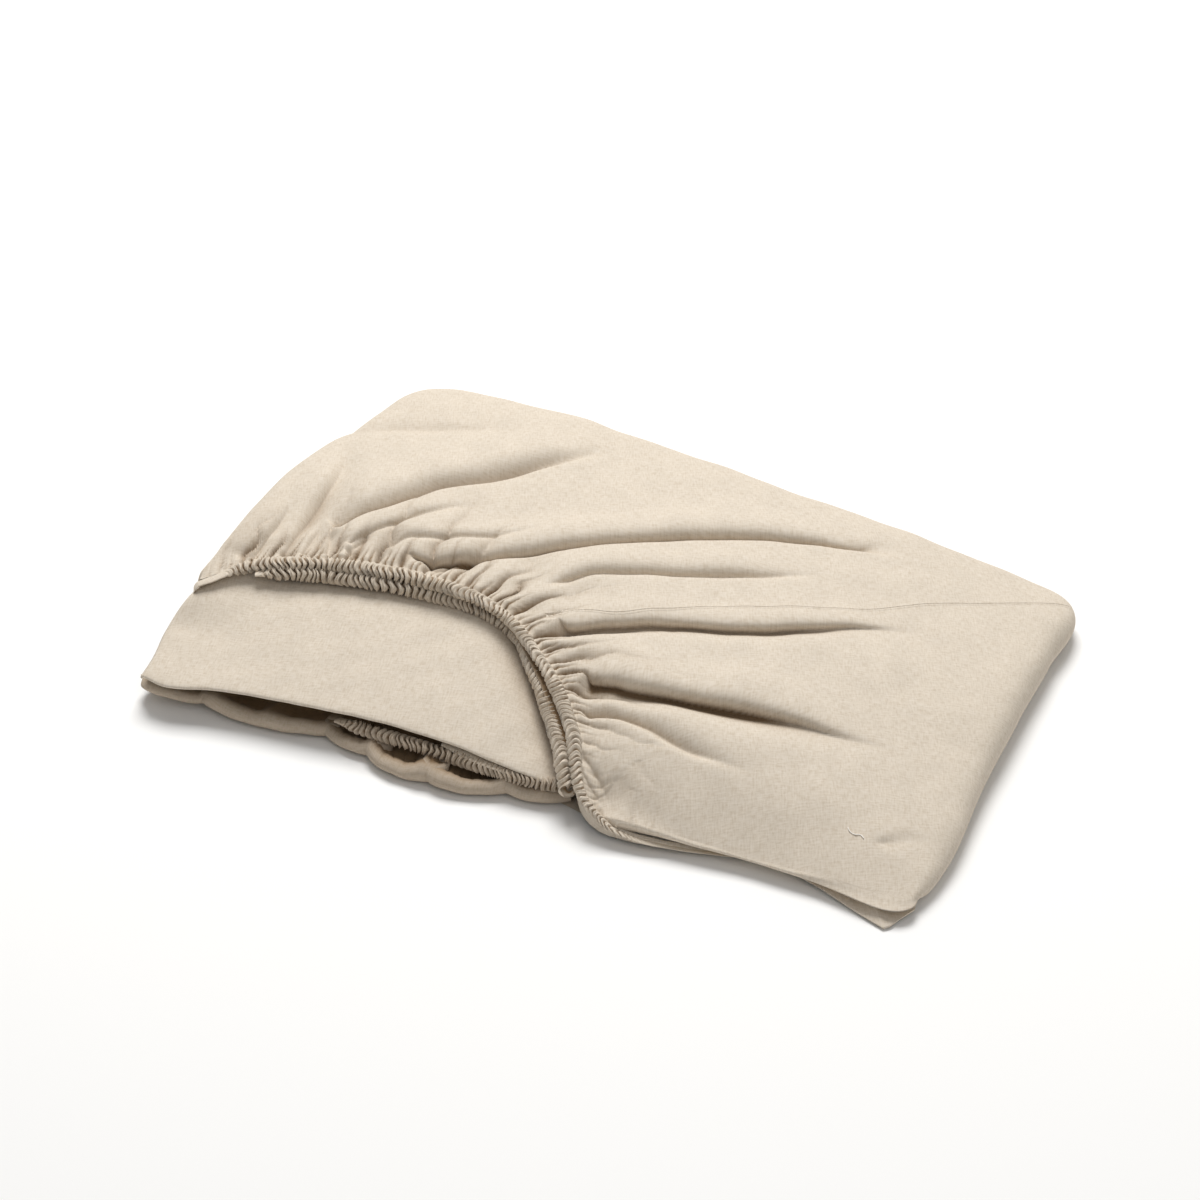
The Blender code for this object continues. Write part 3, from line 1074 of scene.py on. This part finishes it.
    def net(self) -> tuple[Array, Array, Array]:
        """The cloth's points, rows from the hem to the heel, its grain and its painted shade.

        Returns:
            The points, their grain and their painted shade.
        """
        place, shares = self.spacing()
        top, plan, hollow = self.top(place, shares)
        rim = self.rim(place, top[-1, :, 2])
        under = self.under(place, rim[-1])
        net = self.rounded(np.concatenate((top, rim, under)), place)
        rest = net[self.top_rows - 1 :]
        beyond = np.cumsum(np.linalg.norm(np.diff(rest, axis=0), axis=2), axis=0)
        outward = square_to(FAN, place, 2)
        flat = np.concatenate((plan, plan[-1] + outward * beyond[..., None]))
        left = self.closed_end(net[:, 0], *self.left_tuck)
        right = self.closed_end(net[:, -1], *self.right_tuck)
        net = np.concatenate((left[:, ::-1], net, right), 1)
        extra = self.end_columns
        flat = np.pad(flat, ((0, 0), (extra, extra), (0, 0)), "edge")
        turned = np.arange(1, extra + 1)
        flat[..., 1] -= 2.0 * np.concatenate((turned[::-1], np.zeros(len(place)), turned))
        hollow = np.pad(hollow, ((0, len(net) - len(hollow)), (extra, extra)))
        return net, grain_of(flat[..., 0], flat[..., 1], self.grain_turn), hollow

    def build(self) -> bpy.types.Object:
        """Makes the pocket and keeps its surface for what lies on it.

        Returns:
            The pocket's object.
        """
        net, grain, hollow = self.net()
        piece = Cloth("pocket_cloth", net[::-1], grain[::-1], hollow=hollow[::-1]).make()
        mesh = piece.data
        self.mesh_tree = BVHTree.FromPolygons(
            [vertex.co for vertex in mesh.vertices], [face.vertices for face in mesh.polygons]
        )
        return piece

    def surface(self, x: Array, y: Array) -> Array:
        """The height of the finished cloth under points of the plan, in millimetres.

        Args:
            x: Places along the bundle.
            y: Places from front to back.

        Returns:
            The heights.
        """
        found = []
        for across, back in zip(x.ravel(), y.ravel()):
            start = Vector(((across - MIDDLE[0]) * MM, (back - MIDDLE[1]) * MM, 0.2))
            hit = self.mesh_tree.ray_cast(start, Vector((0, 0, -1)))[0]
            found.append(hit.z / MM if hit else np.nan)
        found = np.array(found).reshape(x.shape)
        return np.where(np.isnan(found), crown(x, y), found)


@dataclass
class RuchedHem:
    """A casing that its elastic has drawn together into round pleats."""

    name: str
    path: Sequence
    width: float
    height: float
    pitch: float
    depth: float
    seed: int
    tilt: float
    columns: int
    rows: int = 34
    ribs: float = 0.5
    skew: float = 1.0
    # Its size at shares of its length.
    sizes: tuple = ((0, 1), (1, 1))
    # The painted shade over all of it, and where along it the elastic starts and stops drawing.
    base_painted_shade: float = 0.0
    flat_until: float = 0.0
    flat_from: float = 1e9

    def spots(self, angle: float, run: Array, pleats: Pleats, starts: Array) -> tuple[Array, ...]:
        """One lengthwise line of the casing.

        Args:
            angle: Where the line lies round the casing, 0 on its inner side.
            run: Distances along the hem.
            pleats: The pleats.
            starts: Where the unevennesses start.

        Returns:
            How far each point lies inward, above and along from the middle, and the painted shade
            between two pleats.
        """
        ruched = smooth((run - self.flat_until) / 14) * smooth((self.flat_from - run) / 30)
        size = np.interp(run / run[-1], *zip(*self.sizes))
        free = 0.35 + 0.65 * smooth((1 - math.cos(angle)) / 1.4)
        at = run + self.skew * math.sin(angle + 0.5)
        at = at + 0.9 * np.sin(run / 9 + 2 * angle + starts[0])
        at = at + 0.45 * np.sin(run / 3.7 - 1.5 * angle + starts[5])
        bulge, width, own = pleats.bulge(at)
        gap = smooth(np.clip(2.1 * (1 - bulge) - 0.12, 0, 1))
        valley = self.depth * (0.5 + 0.5 * own) * gap * np.clip(width / self.pitch, 0.6, 1.25)
        valley = valley * free * ruched
        weave = at * 4.1 + 1.4 * np.sin(at / 2.7 + starts[1]) + angle + starts[2]
        rib = self.ribs * np.sin(weave) * np.sin(angle / 2) ** 0.5 * ruched
        puff = 0.35 * np.sin(at / 6.1 + starts[3]) + 0.25 * np.sin(at / 2.9 + starts[4])
        out = (self.width / 2 + puff * 0.6) * (0.82 + 0.18 * own) - valley + rib
        up = (self.height / 2 + puff * 0.4) * (0.35 + 0.65 * ruched) - valley * 0.9 + rib
        across, rise = out * size * math.cos(angle), up * size * math.sin(angle)
        cosine, sine = math.cos(math.radians(self.tilt)), math.sin(math.radians(self.tilt))
        sway = 0.45 * np.sin(at / 3.3 + starts[5]) * math.sin(angle) * ruched
        # Painted shade between the pleats.
        deep = gap * ruched * (0.45 + 0.55 * own)
        return across * cosine - rise * sine, across * sine + rise * cosine, sway, deep

    def build(self) -> bpy.types.Object:
        """Sweeps the casing's section along the path, pleat by pleat.

        Returns:
            The hem's object.
        """
        middle, run = evenly(self.path, self.columns)
        pleats = Pleats(run[-1], self.pitch, self.seed)
        starts = np.random.default_rng(self.seed + 40).uniform(0, math.tau, 6)
        along = heading(middle[:, :2])
        inward = np.stack((-along[:, 1], along[:, 0]), 1)
        rows, grain, hollow = [], [], []
        for angle in np.radians(np.linspace(12, 352, self.rows)):
            shift, lift, sway, deep = self.spots(angle, run, pleats, starts)
            spot = middle[:, :2] + inward * shift[:, None] + along * sway[:, None]
            rows.append(np.column_stack((spot, middle[:, 2] + lift)))
            round_it = np.full(len(run), angle * self.width / 2)
            grain.append(np.column_stack((run * 1.8, round_it)))
            # The colour carries painted shade: some over the whole hem, and more between the
            # pleats.
            hollow.append(self.base_painted_shade + (1 - self.base_painted_shade) * deep)
        return Cloth(self.name, np.array(rows), np.array(grain), hollow=np.array(hollow)).make()


@dataclass
class FoldedPanel:
    """The main panel, folded back and forth, with the flap on top and the inner edge's lining."""

    columns: int = 215
    hidden_columns: int = 20
    shown_until: float = 60.0
    flap_rows: int = 58
    # How far the flap's left edge is drawn in behind, and how far it bulges before that.
    drawn_back: float = 9.0
    bulge: float = 7.0
    grain_turn: float = 12.0

    def stations(self) -> Array:
        """Places along the bundle, closer where the flap shows.

        Returns:
            The columns' places.
        """
        shown = np.linspace(PANEL[0, 0], self.shown_until, self.columns - self.hidden_columns)
        hidden = np.linspace(self.shown_until, PANEL[-1, 0], self.hidden_columns + 1)
        return np.concatenate((shown, hidden[1:]))

    @staticmethod
    def fold(low: Array, high: Array, edge: Array, side: int, count: int) -> list[tuple]:
        """The round of a fold from one layer to another.

        Args:
            low: The height that it starts from.
            high: The height that it ends at.
            edge: How far forward or back it reaches.
            side: 1 for a fold at the back, -1 for one at the front.
            count: How many rows it has.

        Returns:
            Its rows, each as y and height.
        """
        middle, half = (low + high) / 2, (high - low) / 2
        reach = np.minimum(np.abs(half), 4.0)
        angles = np.radians(np.linspace(-72, 72, count))
        return [(edge + side * reach * (np.cos(a) - 1), middle + half * np.sin(a)) for a in angles]

    def net(self) -> tuple[Array, Array, Array]:
        """The panel's points, rows from its lowest layer to its inner edge, and what they carry.

        Returns:
            The points, their grain and their painted shade.
        """
        x = self.stations()
        table = PANEL[:, 0]
        place = np.interp(x, table, np.arange(len(table)))
        _, front, tuck, back, hem_y = spline(PANEL, place).T
        first = floor_height(x) + CLOTH + LAYER_GAP
        tucked = front + tuck

        def flap(y: Array) -> Array:
            """The flap's height.

            Args:
                y: Places from front to back, one row of them.

            Returns:
                The heights in millimetres.
            """
            inside = y - hem_y
            pressed = PRESSED_FLAP * smooth(inside / 30) + HOLLOW_ROOM * smooth((inside - 4) / 24)
            swell = 7.5 * np.exp(-(((x + 212) / 26) ** 2)) * smooth((y + 112) / 24) * (inside < 10)
            beside = np.exp(-((inside / 16) ** 2)) * smooth((x + 50) / 40)
            low = crown(x, y) - FLAP_DROP - pressed + swell - 6.0 * beside
            return low + 0.45 * waver(x, y, 75, 21) + 0.16 * waver(x, y, 26, 22)

        def under(y: Array) -> Array:
            """The height of the layer below the flap."""
            return flap(y) - np.minimum(CLOTH + 1.2 + 0.04 * (y - front), (flap(y) - first) / 3)

        def second(y: Array) -> Array:
            """The height of the layer between."""
            return first + (under(y) - first) / 2

        def lining(y: Array) -> Array:
            """The height of the cloth that ends in the inner hem."""
            return settled_height(x, y, LINING_DROP)

        def run(start: Array, end: Array, count: int, height: Callable, power: float = 1) -> list:
            """Rows between two places, at a layer's height."""
            shares = np.linspace(0, 1, count) ** power
            return [(y, height(y)) for y in (start + (end - start) * share for share in shares)]

        rows = run(back - 2, tucked + 4, 9, lambda y: first + 0 * y)
        rows += self.fold(first, second(tucked), tucked, -1, 7)
        rows += run(tucked + 4, back - 6, 9, second)
        rows += self.fold(second(back), under(back), back, 1, 5)
        rows += run(back - 6, front + 3, 26, under, 0.6)
        turn = self.fold(under(front), flap(front), front, -1, 9)
        rows += [(y + 2.6 * max(0.0, 1 - step / 4.5), z) for step, (y, z) in enumerate(turn)]
        shown = len(rows)
        rows += run(front + 2.5, hem_y + 12, self.flap_rows, flap)
        rows += run(hem_y + 18, back - 4, 10, flap)
        rows += self.fold(flap(back), lining(back), back, 1, 5)
        rows += run(back - 4, hem_y + 24, 9, lining)
        rows += run(hem_y + 20, hem_y - 1, 12, lining)
        y, z = (np.array([row[part] for row in rows]) for part in (0, 1))
        drawn = self.drawn_back * smooth((y + 84) / 26)
        drawn = drawn - self.bulge * np.exp(-(((y + 108) / 22) ** 2))
        moved = x + drawn * smooth((-150 - x) / 59)
        rounding = np.clip((-201 - x) / 8, 0, 1)
        number = np.arange(len(rows))[:, None]
        is_flap = (number >= shown - 4) & (number < shown + self.flap_rows)
        z = z - 2.6 * (1 - np.sqrt(1 - rounding**2 * 0.98)) * is_flap
        net = np.dstack((moved, y, z))
        step = np.linalg.norm(np.diff(net[:, :, 1:], axis=0), axis=2)
        down = np.concatenate((np.zeros((1, len(x))), np.cumsum(step, axis=0)))
        last = shown + self.flap_rows - 1
        before = down[:shown] - down[shown] + y[shown]
        behind = down[last + 1 :] - down[last] + y[last]
        across = np.concatenate((before, y[shown : last + 1], behind))
        # Painted shade: the flap's cloth from the inner hem on, under the hems and the pocket, and
        # the lining are darkened in full, and the hem's shadow is painted on the flap beside it.
        hem_shadow_painted = 0.5 * np.exp(-(((y - hem_y) / 17) ** 2)) * smooth((x + 62) / 45)
        hollow = np.maximum(smooth((y - hem_y + 3) / 3), hem_shadow_painted) * (number >= shown)
        return net, grain_of(moved, across, self.grain_turn), hollow

    def build(self) -> bpy.types.Object:
        """Makes the folded panel."""
        net, grain, hollow = self.net()
        return Cloth("folded_panel", net, grain, Edge.THICK, 0.9, hollow).make()


# The foremost line of the lower lip's cloth, from the left: it doubles back behind each pouch.
POUCH_LINE = (
    (-214, -141), (-211, -146), (-203, -148.5), (-192, -147), (-182, -143.5), (-174, -139),
    (-171, -135.5), (-175, -133.5), (-180, -135), (-179, -139.5), (-172, -143), (-160, -144),
    (-146, -143.5), (-132, -142), (-118, -139), (-107, -135), (-101, -131), (-104, -128.5),
    (-109, -130.5), (-107, -134), (-101, -137.5), (-92, -140), (-84, -140.5), (-76, -139),
    (-70, -135.5), (-68, -132), (-72, -130.5), (-78, -132.5), (-80, -137.5), (-76, -142.5),
    (-68, -146.5), (-58, -148.3), (-48, -148), (-40, -146), (-34, -141), (-33, -136.5),
    (-38, -134.5), (-44, -136.5), (-46, -141.5), (-41, -145.8), (-32, -148), (-20, -146.5),
    (-8, -142), (2, -136), (5, -132), (1, -130), (-4, -131.5), (-4, -135), (1, -137.5),
    (9, -138), (19, -136.5), (27, -132), (33, -128),
)
# The lower hem's middle, under the flap.
LOWER_HEM = (
    (-100, -131.5, 12.8), (-88, -132.5, 13), (-76, -132.8, 12.8), (-62, -132.6, 12.6),
    (-45, -132.4, 12.4), (-28, -132.8, 12.2), (-10, -133.2, 12), (6, -132.8, 11.8),
    (20, -131, 11.6), (29, -128, 11.4),
)


@dataclass
class LowerPouches:
    """The lower lip's cloth: open pouches that swell in front of the flap and curl in under it."""

    columns: int = 740
    rows: int = 64
    # Distance back from the foremost line and height above the floor cloth, from under the
    # pouch round its lip into its hollow.
    section: tuple = (
        (13, 0.0), (6, 0.1), (2.2, 0.8), (0.3, 2.6), (-0.5, 4.8), (0.4, 6.8), (3.0, 8.2),
        (6.4, 7.6), (10.0, 5.4), (15.0, 4.4), (22.0, 6.0), (27.0, 12.0),
    )
    # How deep the hollow is and how full the lip stands, at places along the bundle.
    relief: tuple = (
        (-214, 0.3, 0.5), (-206, 0.8, 0.8), (-192, 1.3, 0.8), (-180, 1.2, 0.7), (-171, 0.2, 1.15),
        (-160, 1.3, 1.0), (-146, 1.4, 0.9), (-139, 0.4, 1.1), (-128, 1.4, 1.0), (-114, 1.2, 0.9),
        (-105, 0.3, 0.9), (-96, 1.2, 0.8), (-84, 1.2, 0.8), (-77, 0.0, 1.25), (-68, 1.0, 0.9),
        (-54, 1.3, 0.9), (-45, 0.1, 1.25), (-34, 1.1, 1.1), (-22, 1.7, 0.95), (-8, 1.5, 0.9),
        (-2, 0.1, 1.2), (8, 1.4, 0.95), (20, 1.4, 0.9), (33, 0.6, 0.8),
    )
    # How high a full lip stands, and the painted shade of the flap's shadow on its cloth there.
    lip: float = 8.2
    lip_painted_shade: float = 0.46

    def build(self) -> bpy.types.Object:
        """Carries the section along the foremost line, pouch by pouch.

        Returns:
            The pouches' object.
        """
        low, run = evenly(POUCH_LINE, self.columns)
        table = np.array(self.relief)
        deep, full = (np.interp(low[:, 0], table[:, 0], table[:, part]) for part in (1, 2))
        lift = lift_of(low[:, 0])
        coarse = []
        for step, (back, up) in enumerate(self.section):
            inside = smooth((step - 5) / 3)
            sunk = self.lip * full - (self.lip - up) * deep
            height = up * full * (1 - inside) + sunk * inside
            sway = 1.6 * np.sin(run / 7.5 + 0.5 * step) * smooth((step - 6) / 4)
            spot = low + np.column_stack((sway, back + 1.5 * (full - 1) * (step > 5)))
            coarse.append(np.column_stack((spot, np.maximum(CLOTH / 2 + lift + height, 0.5))))
        coarse = np.array(coarse)
        place = np.linspace(0, len(coarse) - 1, self.rows)
        net = spline(coarse.reshape(len(coarse), -1), place).reshape(self.rows, self.columns, 3)
        pleats = Pleats(run[-1], 5.4, 77)
        bulge, _, own = pleats.bulge(np.broadcast_to(run + 2 * place[:, None], net.shape[:2]))
        gathers = smooth((place - 5.0) / 4)[:, None] * smooth((low[:, 0] + 106) / 10)
        net[..., 2] += (bulge - 0.6) * own * 1.5 * gathers
        net[..., 2] += 0.3 * waver(net[..., 0], net[..., 1], 17, 61)
        net[..., 2] = np.maximum(net[..., 2], 0.45)
        grain = np.stack(np.broadcast_arrays(run[None, :], place[:, None] * 3.4), -1)
        # Painted shade: the lips are darkened part way, the hollows under the flap in full.
        dark = self.lip_painted_shade + (1 - self.lip_painted_shade) * smooth((place - 5.2) / 2.6)
        hollow = np.broadcast_to(dark[:, None], net.shape[:2])
        return Cloth("lower_pouches", net, grain, Edge.THICK, 0.7, hollow).make()


@dataclass
class FrontStrip:
    """A piece of cloth lofted between two edges that both are seen."""

    name: str
    top: tuple
    bottom: tuple
    columns: int = 120
    rows: int = 14
    sag: float = 0.0
    grain_turn: float = 0.0

    def build(self) -> bpy.types.Object:
        """Lofts the cloth.

        Returns:
            The strip's object.
        """
        top, _ = evenly(self.top, self.columns)
        bottom, _ = evenly(self.bottom, self.columns)
        share = np.linspace(0, 1, self.rows)[:, None, None]
        net = top + (bottom - top) * share
        net[..., 2] -= self.sag * np.sin(np.pi * share[..., 0])
        net[..., 2] += 0.12 * waver(net[..., 0], net[..., 1], 9, 31)
        grain = grain_of(net[..., 0], net[..., 1] - net[..., 2], self.grain_turn)
        return Cloth(self.name, net, grain, Edge.THICK, 0.8).make()


@dataclass
class DogEar:
    """The corner's spare cloth, folded to a point that shows under the front edge."""

    top: tuple = ((150, -129.5, 4.6), (172, -129.5, 5.0), (190, -131.5, 5.6), (197, -133.2, 6.4),
                  (204, -132.4, 5.2), (212, -131, 4.4), (219, -129.5, 3.8))
    bottom: tuple = ((150, -130.5, 3.2), (172, -136, 1.8), (194, -144, 1.1), (209.5, -149, 0.8),
                     (212, -146.4, 1.0), (214.5, -141, 1.8), (219, -132.5, 3.0))
    columns: int = 90
    rows: int = 22

    def build(self) -> bpy.types.Object:
        """Lofts the two facets, which meet in a crisp ridge.

        Returns:
            The dog-ear's object.
        """
        place = np.linspace(0, len(self.top) - 1, self.columns)
        knots = np.arange(len(self.top))
        top, bottom = (
            np.stack([np.interp(place, knots, column) for column in zip(*edge)], 1)
            for edge in (self.top, self.bottom)
        )
        share = np.linspace(0, 1, self.rows)[:, None, None]
        net = top + (bottom - top) * share
        hollow = np.sin(np.pi * share[..., 0]) * np.clip(np.abs(place - 3), 0, 1)
        net[..., 2] -= 0.9 * hollow * np.clip((net[..., 2] - 0.8) / 3, 0, 1)
        grain = grain_of(net[..., 0], net[..., 1] * 1.3)
        return Cloth("corner_dog_ear", net, grain, Edge.THICK, 0.8).make()


# Where the box corner's seam runs over the pocket, from the hem to the right-hand corner.
SEAM_PATH = (
    (-21, -46), (-8, -40), (13, -33), (30, -20), (48, -7), (64, 4), (81, 13), (107, 30), (125, 42),
    (142, 58), (157, 74), (175, 88), (192, 101), (206, 112), (217, 120),
)


@dataclass
class CornerSeam:
    """The straight seam that closes the box corner: a low welt beside a narrow groove."""

    columns: int = 420
    profile: tuple = ((-2.0, -0.30), (-1.2, 0.10), (-0.7, 0.34), (-0.15, 0.30), (0.0, -0.35),
                      (0.15, -0.35), (0.35, 0.22), (0.9, 0.26), (1.5, 0.08), (2.2, -0.30))

    def build(self, pocket: PocketCloth) -> bpy.types.Object:
        """Lays the seam on the pocket.

        Args:
            pocket: The cloth that it closes.

        Returns:
            The seam's strip.
        """
        path, run = evenly(SEAM_PATH, self.columns)
        along = heading(path)
        right = np.stack((along[:, 1], -along[:, 0]), 1)
        rows = []
        for aside, up in self.profile:
            spot = path + right * aside
            height = averaged(pocket.surface(spot[:, 0], spot[:, 1]), 2)
            pucker = 0.06 * np.sin(run * 2.1) * (abs(aside) < 1)
            rows.append(np.column_stack((spot, height + up + pucker)))
        net = np.array(rows)
        grain = grain_of(net[..., 0], net[..., 1])
        return Cloth("corner_seam", net[::-1], grain[::-1]).make()


@dataclass
class LooseThread:
    """A short end of sewing thread that lies on the cloth near the front edge."""

    path: tuple = (
        (174.5, -108.5), (176.5, -110.4), (179.5, -111.0), (182.0, -110.2), (184.5, -111.6),
    )
    thickness: float = 0.55
    rows: int = 40
    sides: int = 8
    tapered: float = 0.6

    def build(self, pocket: PocketCloth) -> bpy.types.Object:
        """Lays the thread on the pocket, as a closed tube.

        Args:
            pocket: The cloth that it lies on.

        Returns:
            The thread's tube.
        """
        path, run = evenly(self.path, self.rows)
        height = pocket.surface(path[:, 0], path[:, 1]) + 0.3 + 0.15 * np.sin(run * 0.75) ** 2
        middle = np.column_stack((path, height))
        along = heading(path)
        right = np.column_stack((along[:, 1], -along[:, 0], np.zeros(len(path))))
        taper = np.minimum(1, np.minimum(run, run[-1] - run) / self.tapered)[:, None]
        rows = []
        for angle in np.linspace(0, math.tau, self.sides + 1):
            round_it = right * math.cos(angle) + np.array((0, 0, 1.0)) * math.sin(angle)
            rows.append(middle + round_it * taper * self.thickness / 2)
        net = np.array(rows)
        return Cloth("loose_thread", net, net[..., :2]).make()


# How high the outer hem's middle lies over the pocket's own hem line.
OUTER_HEM_RISE = 1.0
# The inner hem's middle, just inside the outer one.
INNER_HEM = (
    (-184.6, -69.1, 40.7), (-176.6, -65.1, 41.1), (-161.6, -60.1, 41.7), (-145.6, -56.1, 42.1),
    (-123.6, -51.6, 42.3), (-102.6, -48.6, 41.9), (-83.6, -46.1, 41.1), (-65.6, -45.5, 40.1),
    (-52.6, -47.6, 39.3), (-40.6, -51.6, 38.3), (-29.6, -58.1, 37.3), (-21.6, -66.1, 36.3),
    (-11.6, -77.6, 34.7), (-1.6, -89.1, 32.9), (7.9, -100.1, 30.5), (16.4, -111.1, 27.9),
    (23.4, -120.1, 25.1), (28.4, -127.6, 22.1), (32.4, -133.1, 18.9), (35.4, -137.1, 16.1),
)
# The outer hem's size at shares of its length.
OUTER_HEM_SIZES = (
    (0, 0.3), (0.01, 0.6), (0.03, 0.7), (0.1, 0.95), (0.36, 1.0), (0.44, 0.74), (0.56, 0.7),
    (0.64, 0.88), (0.74, 0.72), (0.8, 0.5), (0.9, 0.4), (1, 0.3),
)
# Where the upper hem curls down over the flap's left-hand edge, from its first place.
HEM_START = np.array(((-3.6, -3.2, -7.0), (-2.8, -2.7, -3.2), (-1.5, -1.5, -0.8)))
# The tail of the upper hem, which slips under the pocket's front edge, and the two edges of the
# strip of cloth that goes with it.
HEM_TAIL = np.array(
    (
        (58, -145.0, 11.0), (66, -146.0, 8.0), (80, -144.8, 5.6), (98, -140.5, 4.0),
        (114, -135.5, 3.0), (130, -130, 2.2),
    )
)
HEM_TAIL_TOP = (
    (36, -129, 21.0), (42, -135.5, 17.0), (49, -140.5, 13.5), (58, -142.6, 10.0), (70, -142.4, 7.4),
    (84, -140.4, 5.8), (100, -136.6, 4.8), (118, -131.0, 4.0),
)
HEM_TAIL_BOTTOM = (
    (38, -131.5, 9.0), (43, -137, 5.6), (51, -142.0, 3.4), (60, -144.0, 2.4), (72, -143.4, 2.0),
    (86, -141.2, 1.8), (102, -137.2, 1.6), (120, -131.6, 1.5),
)
# The fold of cloth that shows between the flap and the lower lip.
SECOND_FOLD_TOP = (
    (-40, -124, 15.4), (-28, -126, 15.2), (-14, -126.5, 14.8), (0, -126.5, 14.2), (12, -125, 13.4),
    (24, -122, 12.6),
)
SECOND_FOLD_FRONT = (
    (-40, -130.6, 15.6), (-28, -133.2, 15.0), (-14, -135, 14.4), (0, -134.8, 13.6),
    (12, -132.6, 12.8), (26, -128.2, 12.0),
)


@dataclass
class FoldedSheet:
    """The whole bundle."""

    linen: WashedLinen = field(default_factory=WashedLinen)
    sewing_thread: WashedLinen = field(
        default_factory=lambda: WashedLinen(
            name="Pale sewing thread", thread="#F3EEE6", pale_slub="#F7F3ED",
            dark_slub="#EAE3D9", pitch_mm=0.3, slub_length_mm=1.2, relief_mm=0.02,
        )
    )
    pocket: PocketCloth = field(default_factory=PocketCloth)

    def build(self) -> None:
        cloth, thread = self.linen.make(), self.sewing_thread.make()
        pocket = self.pocket.build()
        outer_path = HEM[::8, :3] + np.array((0.0, 0.0, OUTER_HEM_RISE))
        outer_path = np.concatenate((outer_path[0] + HEM_START, outer_path, HEM_TAIL))
        trims = [
            RuchedHem(
                "outer_hem", outer_path, width=9.4, height=7.4, pitch=3.3, depth=3.0, seed=3,
                tilt=-12.0, columns=2400, rows=30, ribs=0.55, sizes=OUTER_HEM_SIZES,
                flat_until=20.0, flat_from=HEM_LENGTH + 50,
            ).build(),
            RuchedHem(
                "inner_hem", INNER_HEM, width=8.4, height=7.6, pitch=3.3, depth=2.9, seed=9,
                tilt=-16.0, columns=1900, rows=32, skew=0.8,
            ).build(),
            # The lower hem lies in the flap's shadow, and painted shade darkens all of it.
            RuchedHem(
                "lower_hem", LOWER_HEM, width=8.0, height=7.0, pitch=2.9, depth=2.6, seed=15,
                tilt=-24.0, columns=1000, skew=0.7, base_painted_shade=0.4,
            ).build(),
            FrontStrip("hem_tail", HEM_TAIL_TOP, HEM_TAIL_BOTTOM, columns=160).build(),
            FrontStrip("flap_second_fold", SECOND_FOLD_TOP, SECOND_FOLD_FRONT, sag=-0.5).build(),
            DogEar().build(),
            CornerSeam().build(self.pocket),
            LooseThread().build(self.pocket),
        ]
        panel = FoldedPanel().build()
        pouches = LowerPouches().build()
        for piece in (pocket, panel, pouches, *trims):
            piece.data.materials.append(thread if piece.name == "loose_thread" else cloth)
            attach(piece, "root")
            LOG.info("%s: %d faces", piece.name, len(piece.data.polygons))
        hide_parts("fitted_sheet")


@dataclass
class Studio:
    """A pale floor, soft light from above and behind on the left, and the camera."""

    azimuth: float = 25.0
    elevation: float = 36.0
    distance: float = 1.56
    target: tuple = (-0.02077, 0.02048, 0.015)
    lens: float = 85.0
    sensor: float = 36.0

    def light(self, name: str, place: tuple, size: float, power: float) -> None:
        """Adds a square soft light that points at the bundle.

        Args:
            name: The light's name.
            place: Where it stands, in metres.
            size: Its side, in metres.
            power: Its power, in watts.
        """
        lamp = bpy.data.lights.new(name, "AREA")
        lamp.size, lamp.energy = size, power
        stand = bpy.data.objects.new(name, lamp)
        stand.location = place
        towards = Vector(self.target) - Vector(place)
        stand.rotation_euler = towards.to_track_quat("-Z", "Y").to_euler()
        bpy.context.scene.collection.objects.link(stand)

    def floor(self) -> None:
        """Lays the floor just under the bundle."""
        sheet = bmesh.new()
        bmesh.ops.create_grid(sheet, x_segments=1, y_segments=1, size=6.0)
        mesh = bpy.data.meshes.new("studio_floor")
        sheet.to_mesh(mesh)
        sheet.free()
        mesh.transform(Matrix.Translation((0, 0, -0.0004)))
        ground = bpy.data.objects.new("studio_floor", mesh)
        bpy.context.scene.collection.objects.link(ground)
        paint = bpy.data.materials.new("Matt white paint")
        paint.use_nodes = True
        shader = paint.node_tree.nodes["Principled BSDF"]
        shader.inputs["Base Color"].default_value = linear("#F4F3F1")
        shader.inputs["Roughness"].default_value = 0.95
        shader.inputs["Specular IOR Level"].default_value = 0.1
        mesh.materials.append(paint)

    def camera(self) -> None:
        """Sets up the camera at the photograph's viewing angle."""
        turn, rise = math.radians(self.azimuth), math.radians(self.elevation)
        back = Vector(
            (math.sin(turn) * math.cos(rise), -math.cos(turn) * math.cos(rise), math.sin(rise))
        )
        lens = bpy.data.cameras.new("Camera")
        lens.lens, lens.sensor_width = self.lens, self.sensor
        stand = bpy.data.objects.new("Camera", lens)
        stand.location = Vector(self.target) + back * self.distance
        stand.rotation_euler = back.to_track_quat("Z", "Y").to_euler()
        bpy.context.scene.collection.objects.link(stand)
        bpy.context.scene.camera = stand

    def build(self) -> None:
        """Sets up the floor, the lights and the camera."""
        self.camera()
        self.floor()
        world = bpy.data.worlds.new("Pale room")
        world.use_nodes = True
        sky = world.node_tree.nodes["Background"]
        sky.inputs["Color"].default_value = (1, 1, 1, 1)
        sky.inputs["Strength"].default_value = 0.31
        bpy.context.scene.world = world
        bpy.context.scene.view_settings.view_transform = "Standard"
        self.light("Key", (-0.48, 1.0, 2.08), 1.25, 58)
        self.light("Fill", (0.9, -0.9, 1.5), 1.2, 3.5)


def main() -> None:
    """Builds the studio and the folded sheet."""
    logging.basicConfig(level=logging.INFO, format="%(name)s: %(message)s")
    Studio().build()
    FoldedSheet().build()


if __name__ == "__main__":
    main()
